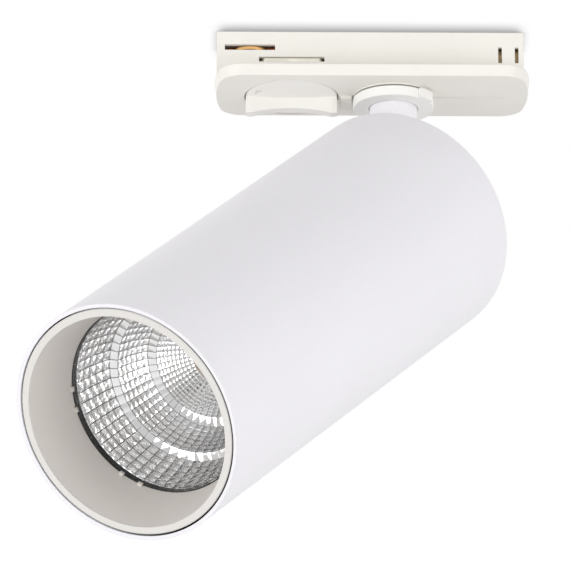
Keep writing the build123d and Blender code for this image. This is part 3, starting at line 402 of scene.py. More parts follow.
def mottle_group():
    """Mask of slow, soft changes of tone across a surface."""
    tree, entry = new_group("soft_mottle", (("Size", 14 * MM),), ("Mask",))
    scale = calc(tree, (1, 0), "DIVIDE", 1.0, entry["Size"])
    clouds = noise(tree, (2, 0), object_place(tree), scale, 4.0, 0.5)
    node(tree, "NodeGroupOutput", (4, 0), {"Mask": spread(tree, (3, 0), clouds, 0.32, 0.68, soft=True)})
    return tree


def axis_group():
    """Distance from the head's axis, station behind its front face, and how far to the sheltered side, which
    sets how dark the gap's painted shade is.
    """
    tree, _ = new_group("head_axis", (), ("Radius", "Station", "Shelter"))
    out = vector_calc(tree, (1, 0), "SUBTRACT", object_place(tree), HEAD.front)[0]
    station = vector_calc(tree, (2, 0), "DOT_PRODUCT", out, HEAD.back)["Value"]
    turned = vector_calc(tree, (2, 1), "CROSS_PRODUCT", out, HEAD.back)[0]
    radius = vector_calc(tree, (3, 1), "LENGTH", turned)["Value"]
    sheltered = HEAD.across * SHELTERED[0] + HEAD.up * SHELTERED[1]
    side = vector_calc(tree, (2, 2), "DOT_PRODUCT", out, sheltered)["Value"]
    shelter = spread(tree, (5, 2), calc(tree, (4, 2), "DIVIDE", side, radius), *SHELTER_FADE, soft=True)
    node(tree, "NodeGroupOutput", (6, 0), {"Radius": radius, "Station": station, "Shelter": shelter})
    return tree


MAKERS = {
    "fine_grain": fine_grain_group,
    "handling_marks": handling_group,
    "brushed_lines": brushed_group,
    "soft_mottle": mottle_group,
    "head_axis": axis_group,
}
EFFECTS = {}


def effect(tree, name, place, values=None):
    """Places a shared effect in a material, and makes its group the first time. Gives its outputs."""
    if name not in EFFECTS:
        EFFECTS[name] = MAKERS[name]()
    return node(tree, "ShaderNodeGroup", place, values, node_tree=EFFECTS[name]).outputs


def handling(tree, patch, amount):
    """Mask of handling marks in a material."""
    return effect(tree, "handling_marks", (1, 4), {"Patch size": patch, "Amount": amount})["Mask"]


def grain(tree, size, coarseness, place=(1, 0)):
    """Height and tone of a fine grain in a material."""
    return effect(tree, "fine_grain", place, {"Size": size, "Coarseness": coarseness})


def mottle(tree, size):
    """Mask of slow changes of tone in a material."""
    return effect(tree, "soft_mottle", (1, 2), {"Size": size})["Mask"]


# ---- Finishes ----
def shade(base, factor=1.0):
    return tuple(min(1.0, channel * factor) for channel in base) + (1.0,)


def start_finish(name, **constants):
    """A new material with a Principled shader and constants on the shader's own sockets."""
    material = bpy.data.materials.new(name)
    material.use_nodes = True
    tree = material.node_tree
    shader = tree.nodes["Principled BSDF"]
    shader.location = (1500, 0)
    tree.nodes["Material Output"].location = (1800, 0)
    for key, value in constants.items():
        shader.inputs[key].default_value = value
    return material, tree, shader


def tone_base(tree, shader, mask, base, low, worn=None, tint=None):
    """Base colour that varies with a mask and takes a tint where it is worn."""
    found = mix_colour(tree, (3, 1), mask, shade(base, low), shade(base))
    if worn is not None:
        found = mix_colour(tree, (5, 1), worn, found, shade(tint), "MULTIPLY")
    tree.links.new(found, shader.inputs["Base Color"])


def roughen(tree, shader, tone, low, high, marks=None, weight=0.0):
    """Roughness that varies with a tone, and with handling marks laid over it."""
    if marks is not None:
        tone = calc(tree, (4, 3), "MULTIPLY_ADD", marks, weight, tone)
    tree.links.new(spread(tree, (5, 3), tone, 0.0, 1.0, low, high), shader.inputs["Roughness"])


def relief(tree, shader, height, depth, strength, edge_round=0.0):
    """Bump from a height, over edges softened by edge_round."""
    bump = node(tree, "ShaderNodeBump", (6, 5),
                {"Strength": strength, "Distance": depth, "Height": height})
    if edge_round:
        soft = node(tree, "ShaderNodeBevel", (5, 6), {"Radius": edge_round}, samples=6)
        tree.links.new(soft.outputs["Normal"], bump.inputs["Normal"])
    tree.links.new(bump.outputs["Normal"], shader.inputs["Normal"])


def moulded_plastic(name, base, roughness, size, edge_round, rubs=0.5):
    """Satin injection-moulded plastic: fine grain, slow tone changes and faint rubs."""
    material, tree, shader = start_finish(name, IOR=1.5)
    fine = grain(tree, size, 0.35)
    marks = handling(tree, 7 * MM, rubs)
    tone_base(tree, shader, mottle(tree, 11 * MM), base, 0.985, marks, (0.95, 0.94, 0.925))
    roughen(tree, shader, fine["Tone"], roughness - 0.05, roughness + 0.07, marks, 0.35)
    relief(tree, shader, fine["Height"], 0.02 * MM, 0.5, edge_round)
    return material


def powder_coat(name, base, roughness, peel, edge_round):
    """Matte powder coat: soft waves with a fine grain on them."""
    material, tree, shader = start_finish(name, IOR=1.48)
    waves = grain(tree, peel, 0.5)
    fine = grain(tree, peel * 0.22, 0.2, (1, 6))
    tone_base(tree, shader, mottle(tree, 38 * MM), base, 0.985, fine["Tone"], (0.972, 0.972, 0.975))
    roughen(tree, shader, waves["Tone"], roughness - 0.05, roughness + 0.06,
            handling(tree, 26 * MM, 0.3), 0.5)
    height = calc(tree, (4, 5), "MULTIPLY_ADD", fine["Height"], 0.3, waves["Height"])
    relief(tree, shader, height, 0.035 * MM, 0.4, edge_round)
    return material


def adapter_plastic(name, base, look, polish=0.0):
    """The adapter's plastic in one of its whites."""
    return moulded_plastic(name, base, look.gloss_roughness - polish, look.grain_size, look.edge_round)


def head_coat(name, base, look, peel_share=1.0):
    """The head's coat in one of its whites."""
    return powder_coat(name, base, look.coat_roughness, look.peel_size * peel_share, look.edge_round)


def bare_metal(name, base, roughness, stretch, depth=0.01 * MM, edge_round=0.1 * MM):
    """Rolled, turned or cast metal with fine lines."""
    material, tree, shader = start_finish(name, Metallic=1.0)
    lines = effect(tree, "brushed_lines", (1, 0), {"Stretch": stretch})
    tone_base(tree, shader, mottle(tree, 6 * MM), base, 0.86, handling(tree, 5 * MM, 0.6),
              (0.78, 0.77, 0.76))
    roughen(tree, shader, lines["Tone"], roughness * 0.75, roughness * 1.3)
    relief(tree, shader, lines["Height"], depth, 0.5, edge_round)
    return material


def soft_part(name, base, roughness, size, speckle=0.9, depth=0.03 * MM):
    """Rubber, silicone, ferrite, ceramic or board: one tone with a speckle."""
    material, tree, shader = start_finish(name, IOR=1.45)
    fine = grain(tree, size, 0.3)
    tone_base(tree, shader, fine["Tone"], base, speckle)
    roughen(tree, shader, fine["Tone"], roughness - 0.06, roughness + 0.08,
            handling(tree, 5 * MM, 0.4), 0.3)
    relief(tree, shader, fine["Height"], depth, 0.5)
    return material


def metallised(name, base, roughness):
    """Vacuum metallised plastic: bright, with a faint haze and a few dust specks."""
    material, tree, shader = start_finish(name, Metallic=1.0)
    haze = mottle(tree, 9 * MM)
    tone_base(tree, shader, haze, base, 0.96)
    roughen(tree, shader, haze, roughness * 0.7, roughness * 1.4)
    relief(tree, shader, grain(tree, 0.5 * MM, 0.2)["Height"], 0.004 * MM, 0.3)
    return material


def gap_shade_tone(tree, axis, look):
    """Painted shade of the narrow gap: pale, and dark on the sheltered side."""
    return mix_colour(tree, (5, 9), axis["Shelter"], shade(look.gap_shade_colour), shade(look.deep_shade_colour))


def recolour(tree, mask, tone):
    """Turns a finished base colour to another tone where the mask is 1."""
    shader = tree.nodes["Principled BSDF"]
    held = shader.inputs["Base Color"].links[0].from_socket
    tree.links.new(mix_colour(tree, (7, 2), mask, held, tone), shader.inputs["Base Color"])


def paint_bore_shade(material, look, radius):
    """Paints shade on the tube's bore behind the front face, darker on the sheltered side."""
    tree = material.node_tree
    axis = effect(tree, "head_axis", (1, 9))
    within = calc(tree, (2, 9), "LESS_THAN", axis["Radius"], radius)
    ahead = calc(tree, (2, 10), "LESS_THAN", axis["Station"], BORE_SHADE_DEPTH)
    recolour(tree, calc(tree, (3, 9), "MULTIPLY", within, ahead), gap_shade_tone(tree, axis, look))


def paint_lever_gap_shade(material, tone, low, high):
    """Paints shade on the upright walls of the narrow gap around the lever's disc."""
    tree = material.node_tree
    hub = Vector(joint("lever_turn")["pos_m"])
    out = vector_calc(tree, (2, 9), "SUBTRACT", object_place(tree, (1, 9)), hub)[0]
    flat = vector_calc(tree, (3, 9), "MULTIPLY", out, (1, 1, 0))[0]
    radius = vector_calc(tree, (4, 9), "LENGTH", flat)["Value"]
    height = node(tree, "ShaderNodeSeparateXYZ", (3, 10), {0: out}).outputs["Z"]
    band = calc(tree, (5, 9), "COMPARE", radius, (low + high) / 2, (high - low) / 2)
    sunk = calc(tree, (5, 10), "COMPARE", height, SUNK_MIDDLE, SUNK_HALF)
    recolour(tree, calc(tree, (6, 9), "MULTIPLY", band, sunk), shade(tone))


def baffle_tones_and_shade(material, look, radius):
    """Tones of the baffle: pale lip, inner wall greyer with painted shade, and painted gap shade on the wall
    that stands in the tube.
    """
    tree = material.node_tree
    axis = effect(tree, "head_axis", (1, 9))
    recolour(tree, spread(tree, (2, 11), axis["Station"], LIP_START, LIP_END), shade(look.baffle_shaded_colour))
    recolour(tree, calc(tree, (2, 9), "GREATER_THAN", axis["Radius"], radius), gap_shade_tone(tree, axis, look))


def wear(material, *names):
    """Gives frame nodes a finish."""
    for name in names:
        piece = frame["nodes"][name]
        if not piece.material_slots:
            piece.data.materials.append(material)
        for held in piece.material_slots:
            held.material = material


# ---- Mesh helpers ----
def mesh_piece(name, mesh, materials, matrix=None):
    """Turns a bmesh into an object of the scene, closed and facing out."""
    bmesh.ops.recalc_face_normals(mesh, faces=mesh.faces)
    data = bpy.data.meshes.new(name)
    mesh.to_mesh(data)
    mesh.free()
    if matrix is not None:
        data.transform(matrix)
    for material in materials:
        data.materials.append(material)
    piece = bpy.data.objects.new(name, data)
    bpy.context.scene.collection.objects.link(piece)
    return piece


def ring_points(mesh, radius, station, count):
    """A closed ring of vertices about the head's axis."""
    points = []
    for step in range(count):
        turn = 2 * math.pi * step / count
        points.append(mesh.verts.new((radius * math.cos(turn), radius * math.sin(turn), station)))
    return points


def bridge(mesh, first, second):
    """Quads between two rings of the same count."""
    count = len(first)
    for step in range(count):
        after = (step + 1) % count
        mesh.faces.new((first[step], first[after], second[after], second[step]))


def smooth_faces(mesh):
    for face in mesh.faces:
        face.smooth = True


def sharpen(mesh):
    """Marks the edges that turn sharply, so they shade crisply."""
    mesh.normal_update()
    for edge in mesh.edges:
        if len(edge.link_faces) == 2 and edge.calc_face_angle(0) > CRISP_ANGLE:
            edge.smooth = False


# ---- The lever's turn mark ----
def turn_mark_mesh(look):
    """A short raised arc with an arrow head, standing on the near half of the lever's disc."""
    hub = Vector(joint("lever_turn")["pos_m"])
    mesh = bmesh.new()
    sweep = MARK_END - MARK_START
    angles = [MARK_START + sweep * step / MARK_STEPS for step in range(MARK_STEPS + 1)]
    wide = MARK_HEAD_WIDTH * MARK_HALF
    outline = [(look.mark_radius + MARK_HALF, degrees) for degrees in angles]
    outline += [(look.mark_radius + wide, MARK_END), (look.mark_radius, MARK_END + sweep * MARK_HEAD_SHARE),
                (look.mark_radius - wide, MARK_END)]
    outline += [(look.mark_radius - MARK_HALF, degrees) for degrees in reversed(angles)]
    top = []
    foot = []
    for radius, degrees in outline:
        turned = math.radians(degrees)
        place = hub + Vector((radius * math.cos(turned), radius * math.sin(turned), 0))
        top.append(mesh.verts.new(place - Vector((0, 0, look.mark_height))))
        foot.append(mesh.verts.new(place + Vector((0, 0, look.mark_height))))
    mesh.faces.new(top)
    mesh.faces.new(list(reversed(foot)))
    bridge(mesh, top, foot)
    return mesh


# ---- The reflector ----
def zone(start, end, count, bow):
    """Ends of each row of a zone, as radius and station, along a wall that bows out a little."""
    knots = []
    for row in range(count + 1):
        part = row / count
        out = 4 * bow * part * (1 - part)
        knots.append((start[0] + (end[0] - start[0]) * part + out, start[1] + (end[1] - start[1]) * part))
    return knots


def reflector_rows(shape):
    """Row ends of the whole inside, from the mouth to the foot, and the crown of each row."""
    first, last = HEAD.stations("reflector")
    depth = last - first
    mouth = HEAD.radii("reflector_lock_ring")[0]
    outer_s = first + shape.outer_depth * depth
    inner_s = first + shape.inner_depth * depth
    edge = mouth - shape.rim * (mouth - shape.outer_end) / (outer_s - first)
    knots = [(mouth, first)]
    knots += zone((edge, first + shape.rim), (shape.outer_end, outer_s), shape.outer_rows, shape.zone_bow)
    knots += zone((shape.middle_start, outer_s + shape.tread_rise), (shape.middle_end, inner_s),
                  shape.middle_rows, shape.zone_bow)
    knots += zone((shape.inner_start, inner_s + shape.tread_rise), (shape.foot, last), shape.inner_rows,
                  shape.zone_bow)
    crowns = [0.0] + [shape.pillow] * shape.outer_rows + [shape.tread_pillow]
    crowns += [shape.pillow] * shape.middle_rows + [shape.tread_pillow] + [shape.pillow] * shape.inner_rows
    return knots, crowns


def facet_point(shape, corners, along, around, crown):
    """A point of a pillow between four corners; its crown stands towards the axis."""
    near = corners[0].lerp(corners[1], around)
    far = corners[3].lerp(corners[2], around)
    flat = near.lerp(far, along)
    normal = (corners[2] - corners[0]).cross(corners[3] - corners[1]).normalized()
    if normal.dot(Vector((flat.x, flat.y, 0))) > 0:
        normal = -normal
    rise = (1 - (2 * along - 1) ** 2) * (1 - (2 * around - 1) ** 2)
    step = min(1, min(along, 1 - along) / shape.groove) * min(1, min(around, 1 - around) / shape.groove)
    return flat + normal * crown * (shape.groove_share * step + (1 - shape.groove_share) * rise)


def facet_rings(mesh, shape, stops, knots, crowns):
    """Rings of vertices over all the facets, from the mouth to the foot."""
    count = shape.facets

    def corner(knot, index):
        turn = 2 * math.pi * index / count
        return Vector((knot[0] * math.cos(turn), knot[0] * math.sin(turn), knot[1]))

    rings = []
    for row in range(len(knots) - 1):
        start, end = knots[row], knots[row + 1]
        steps = stops if row < len(knots) - 2 else stops + (1.0,)
        rise = (Vector(start) - Vector(end)).length
        crown = crowns[row] * min(rise, 2 * math.pi * start[0] / count)
        for along in steps:
            ring = []
            for index in range(count):
                corners = (corner(start, index), corner(start, index + 1), corner(end, index + 1),
                           corner(end, index))
                for around in stops:
                    ring.append(mesh.verts.new(facet_point(shape, corners, along, around, crown)))
            rings.append(ring)
    return rings


def facet_faces(mesh, stops, rings, crowns):
    """Faces between the rings, with the groove's painted shade on the strips at each facet's edges."""
    columns = len(rings[0])
    edges = (0, len(stops) - 1)
    for level, (first, second) in enumerate(zip(rings, rings[1:])):
        row, stop = divmod(level, len(stops))
        for column in range(columns):
            after = (column + 1) % columns
            face = mesh.faces.new((first[column], first[after], second[after], second[column]))
            if crowns[min(row, len(crowns) - 1)] and (stop in edges or column % len(stops) in edges):
                # Groove strips take the material of painted shade.
                face.material_index = 1


def facet_edges(stops, rings):
    """Crisp edges along both sides of each groove."""
    columns = len(rings[0])
    for level, ring in enumerate(rings):
        for column, vertex in enumerate(ring):
            for edge in vertex.link_edges:
                other = edge.other_vert(vertex)
                along_ring = other in (ring[(column + 1) % columns], ring[column - 1])
                place = level if along_ring else column
                if place % len(stops) in (0, 1, len(stops) - 1):
                    edge.smooth = False


def reflector_mesh(shape):
    """Closed moulding: pillows inside, plain walls and a rim flange outside."""
    mesh = bmesh.new()
    knots, crowns = reflector_rows(shape)
    stops = (0.0, shape.groove) + FACET_LINES + (1 - shape.groove,)
    rings = facet_rings(mesh, shape, stops, knots, crowns)
    facet_faces(mesh, stops, rings, crowns)
    facet_edges(stops, rings)
    first, last = HEAD.stations("reflector")
    rim_back = first + RIM_THICK
    flange = HEAD.radii("reflector")[1]
    wall = shape.wall
    outer_s = first + shape.outer_depth * (last - first) + wall
    inner_s = first + shape.inner_depth * (last - first) + wall
    mouth = knots[0][0]
    outside = ((shape.foot + wall, last), (shape.inner_start + wall, inner_s + shape.tread_rise),
               (shape.middle_end + wall, inner_s), (shape.middle_start + wall, outer_s + shape.tread_rise),
               (shape.outer_end + wall, outer_s), (mouth + wall, rim_back), (flange, rim_back),
               (flange, first))
    before = rings[-1]
    for radius, station in outside:
        ring = ring_points(mesh, radius, station, len(before))
        bridge(mesh, before, ring)
        before = ring
    bridge(mesh, before, rings[0])
    smooth_faces(mesh)
    return mesh


def phosphor_mesh(crown):
    """A shallow dome with a flat back."""
    first, last = HEAD.stations("cob_emitter")
    radius = HEAD.radii("cob_emitter")[1]
    dome = bmesh.new()
    tip = dome.verts.new((0, 0, first))
    before = None
    for step in range(1, DOME_RINGS + 1):
        part = step / DOME_RINGS
        ring = ring_points(dome, radius * part, first + crown * part * part, DOME_SIDES)
        if before is None:
            for index in range(DOME_SIDES):
                dome.faces.new((tip, ring[index], ring[(index + 1) % DOME_SIDES]))
        else:
            bridge(dome, before, ring)
        before = ring
    foot = ring_points(dome, radius, last, DOME_SIDES)
    bridge(dome, before, foot)
    dome.faces.new(list(reversed(foot)))
    smooth_faces(dome)
    sharpen(dome)
    return dome


# ---- Operators, one for each piece or group of like pieces ----
class SPOTLIGHT_OT_adapter_shells(bpy.types.Operator):
    """Warm white moulded plastic on the two halves of the track adapter"""

    bl_idname = "spotlight.adapter_shells"
    bl_label = "Adapter shells"

    def execute(self, context):
        look = context.scene.spotlight_adapter
        material = adapter_plastic("adapter_shell_plastic", look.shell_colour, look)
        disc = lever_radius()
        # Painted shade on the shell's wall in the gap around the lever.
        paint_lever_gap_shade(material, look.gap_shade_colour, disc + LEVER_GAP_NEAR, disc + LEVER_GAP_FAR)
        wear(material, "front_shell", "rear_shell")
        return {"FINISHED"}


class SPOTLIGHT_OT_adapter_hardware(bpy.types.Operator):
    """Zinc on the screws, copper on the contacts, bronze on the earth strip, plastic on the terminal block"""

    bl_idname = "spotlight.adapter_hardware"
    bl_label = "Adapter hardware"

    def execute(self, context):
        zinc = bare_metal("zinc_plate", paint(205, 205, 201), 0.32, (2500.0, 2500.0, 300.0))
        wear(zinc, "shell_screws", "terminal_screws", "lever_screw", "holder_screws", "cap_screws",
             "bracket_screws", "tube_screws", "rod_nuts", "pivot_nut", "pivot_bolt", "tie_rods",
             "stem_washer", "stem_nut")
        rolled = (60.0, 3500.0, 3500.0)
        wear(bare_metal("rolled_copper", paint(232, 182, 118), 0.22, rolled), "front_contact_blade",
             "rear_contact_blade")
        wear(bare_metal("dark_bronze", paint(150, 128, 96), 0.3, rolled), "earth_contact")
        block = moulded_plastic("terminal_plastic", paint(225, 224, 219), 0.45, 0.4 * MM, 0.2 * MM)
        wear(block, "terminal_block")
        return {"FINISHED"}


class SPOTLIGHT_OT_locking_lever(bpy.types.Operator):
    """Lever with its raised turn mark, the steel locking wing and the nylon cam"""

    bl_idname = "spotlight.locking_lever"
    bl_label = "Locking lever"

    def execute(self, context):
        look = context.scene.spotlight_adapter
        material = adapter_plastic("lever_plastic", look.lever_colour, look, 0.04)
        disc = lever_radius()
        # Painted shade on the lever's upright edge in the gap around it.
        paint_lever_gap_shade(material, look.gap_shade_colour, disc - LEVER_GAP_IN, disc + LEVER_GAP_IN)
        wear(material, "lock_lever")
        mark_plastic = moulded_plastic("mark_plastic", look.mark_colour, look.gloss_roughness,
                                       look.grain_size, 0.1 * MM)
        mark = mesh_piece("turn_mark", turn_mark_mesh(look), (mark_plastic,))
        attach(mark, "lever")
        wear(bare_metal("wing_steel", paint(240, 236, 224), 0.4, (60.0, 3000.0, 3000.0)), "locking_wing")
        wear(moulded_plastic("cam_nylon", paint(222, 219, 210), 0.5, 0.5 * MM, 0.2 * MM), "contact_cam")
        return {"FINISHED"}


class SPOTLIGHT_OT_contact_carriers(bpy.types.Operator):
    """Orange-brown nylon on the sliding carriers behind the contact slots"""

    bl_idname = "spotlight.contact_carriers"
    bl_label = "Contact carriers"

    def execute(self, context):
        material = moulded_plastic("carrier_nylon", paint(214, 122, 66), 0.5, 0.4 * MM, 0.2 * MM)
        wear(material, "front_contact_carrier", "rear_contact_carrier")
        return {"FINISHED"}


class SPOTLIGHT_OT_stem(bpy.types.Operator):
    """Collar, stem tube, tilt tongue, and the wires of the stem and the head"""

    bl_idname = "spotlight.stem"
    bl_label = "Stem"

    def execute(self, context):
        look = context.scene.spotlight_adapter
        head = context.scene.spotlight_head
        wear(adapter_plastic("collar_plastic", look.collar_colour, look), "stem_collar")
        wear(head_coat("stem_coat", head.stem_colour, head), "stem_tube", "pivot_tongue")
        wear(soft_part("wire_sleeve", paint(226, 226, 222), 0.45, 0.6 * MM), "stem_wires", "led_wire",
             "driver_wire")
        return {"FINISHED"}


class SPOTLIGHT_OT_head_shell(bpy.types.Operator):
    """Powder coat on the tube and the rear cap, and the baffle's plastic"""

    bl_idname = "spotlight.head_shell"
    bl_label = "Head shell"

    def execute(self, context):
        head = context.scene.spotlight_head
        coat = head_coat("tube_coat", head.tube_colour, head)
        # Painted shade on the bore where it shows in the gap around the baffle.
        paint_bore_shade(coat, head, HEAD.radii("head_tube")[0] + BORE_SKIN)
        wear(coat, "head_tube")
        wear(head_coat("cap_coat", head.tube_colour, head, 0.8), "rear_cap")
        baffle = moulded_plastic("baffle_plastic", head.lip_colour, 0.6, 0.5 * MM, 0.3 * MM, rubs=0.2)
        # Painted shade on the baffle's inner wall and on its wall inside the tube.
        baffle_tones_and_shade(baffle, head, HEAD.radii("front_baffle")[1] - BAFFLE_SKIN)
        wear(baffle, "front_baffle")
        return {"FINISHED"}


class SPOTLIGHT_OT_reflector(bpy.types.Operator):
    """Faceted reflector and the black ring that locks it"""

    bl_idname = "spotlight.reflector"
    bl_label = "Reflector"

    def execute(self, context):
        shape = context.scene.spotlight_reflector
        metal = metallised("reflector_metal", shape.metal_colour, shape.metal_roughness)
        # Painted shade on the groove strips around each facet.
        groove = metallised("reflector_groove_shade", shape.groove_shade_colour, shape.metal_roughness * 4)
        piece = mesh_piece("faceted_reflector", reflector_mesh(shape), (metal, groove), HEAD.matrix)
        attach(piece, "head")
        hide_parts("reflector")
        ring = soft_part("ring_plastic", paint(40, 40, 40), 0.24, 0.8 * MM, 0.8, 0.004 * MM)
        wear(ring, "reflector_lock_ring")
        return {"FINISHED"}


class SPOTLIGHT_OT_light_source(bpy.types.Operator):
    """Phosphor dome, its holder, its board and the thermal pad"""

    bl_idname = "spotlight.light_source"
    bl_label = "Light source"

    def execute(self, context):
        look = context.scene.spotlight_light
        phosphor = soft_part("phosphor_silicone", look.phosphor_colour, 0.3, 0.25 * MM, 0.88, 0.02 * MM)
        path = node(phosphor.node_tree, "ShaderNodeLightPath", (5, 7))
        recolour(phosphor.node_tree, path.outputs["Is Glossy Ray"], shade(look.mirrored_colour))
        light = mesh_piece("emitter_phosphor", phosphor_mesh(look.crown), (phosphor,), HEAD.matrix)
        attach(light, "head")
        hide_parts("cob_emitter")
        wear(moulded_plastic("holder_plastic", paint(238, 238, 233), 0.4, 0.4 * MM, 0.25 * MM), "cob_holder")
        wear(bare_metal("board_metal", paint(222, 222, 220), 0.3, (2200.0, 2200.0, 2200.0)), "cob_board")
        wear(soft_part("pad_rubber", paint(150, 152, 156), 0.7, 0.5 * MM), "thermal_pad")
        return {"FINISHED"}


class SPOTLIGHT_OT_heat_sink(bpy.types.Operator):
    """Cast aluminium on the heat sink, the chassis plate and the cap's standoffs"""

    bl_idname = "spotlight.heat_sink"
    bl_label = "Heat sink"

    def execute(self, context):
        cast = bare_metal("cast_aluminium", paint(196, 198, 200), 0.42, (900.0, 900.0, 900.0), 0.05 * MM,
                          0.3 * MM)
        wear(cast, "heat_sink", "chassis_plate", "cap_standoffs")
        return {"FINISHED"}


class SPOTLIGHT_OT_driver(bpy.types.Operator):
    """Driver case, board and the parts on it"""

    bl_idname = "spotlight.driver"
    bl_label = "Driver"

    def execute(self, context):
        wear(moulded_plastic("driver_case_plastic", paint(232, 232, 231), 0.5, 0.6 * MM, 0.4 * MM),
             "driver_tray", "driver_cover")
        wear(soft_part("board_mask", paint(38, 104, 60), 0.35, 0.7 * MM, 0.85), "driver_board")
        wear(soft_part("ferrite_tape", paint(60, 56, 54), 0.5, 0.8 * MM, 0.8), "driver_transformer")
        wear(soft_part("capacitor_sleeve", paint(40, 48, 82), 0.3, 1.2 * MM, 0.85), "driver_capacitors")
        wear(soft_part("chip_resin", paint(38, 38, 38), 0.45, 0.3 * MM, 0.8), "driver_chips")
        return {"FINISHED"}


class SPOTLIGHT_OT_tilt_joint(bpy.types.Operator):
    """Steel bracket and friction washers of the tilt joint"""

    bl_idname = "spotlight.tilt_joint"
    bl_label = "Tilt joint"

    def execute(self, context):
        wear(bare_metal("bracket_steel", paint(196, 197, 199), 0.35, (70.0, 70.0, 3000.0)), "pivot_bracket")
        wear(soft_part("washer_fibre", paint(58, 58, 58), 0.6, 0.4 * MM), "friction_washers")
        return {"FINISHED"}


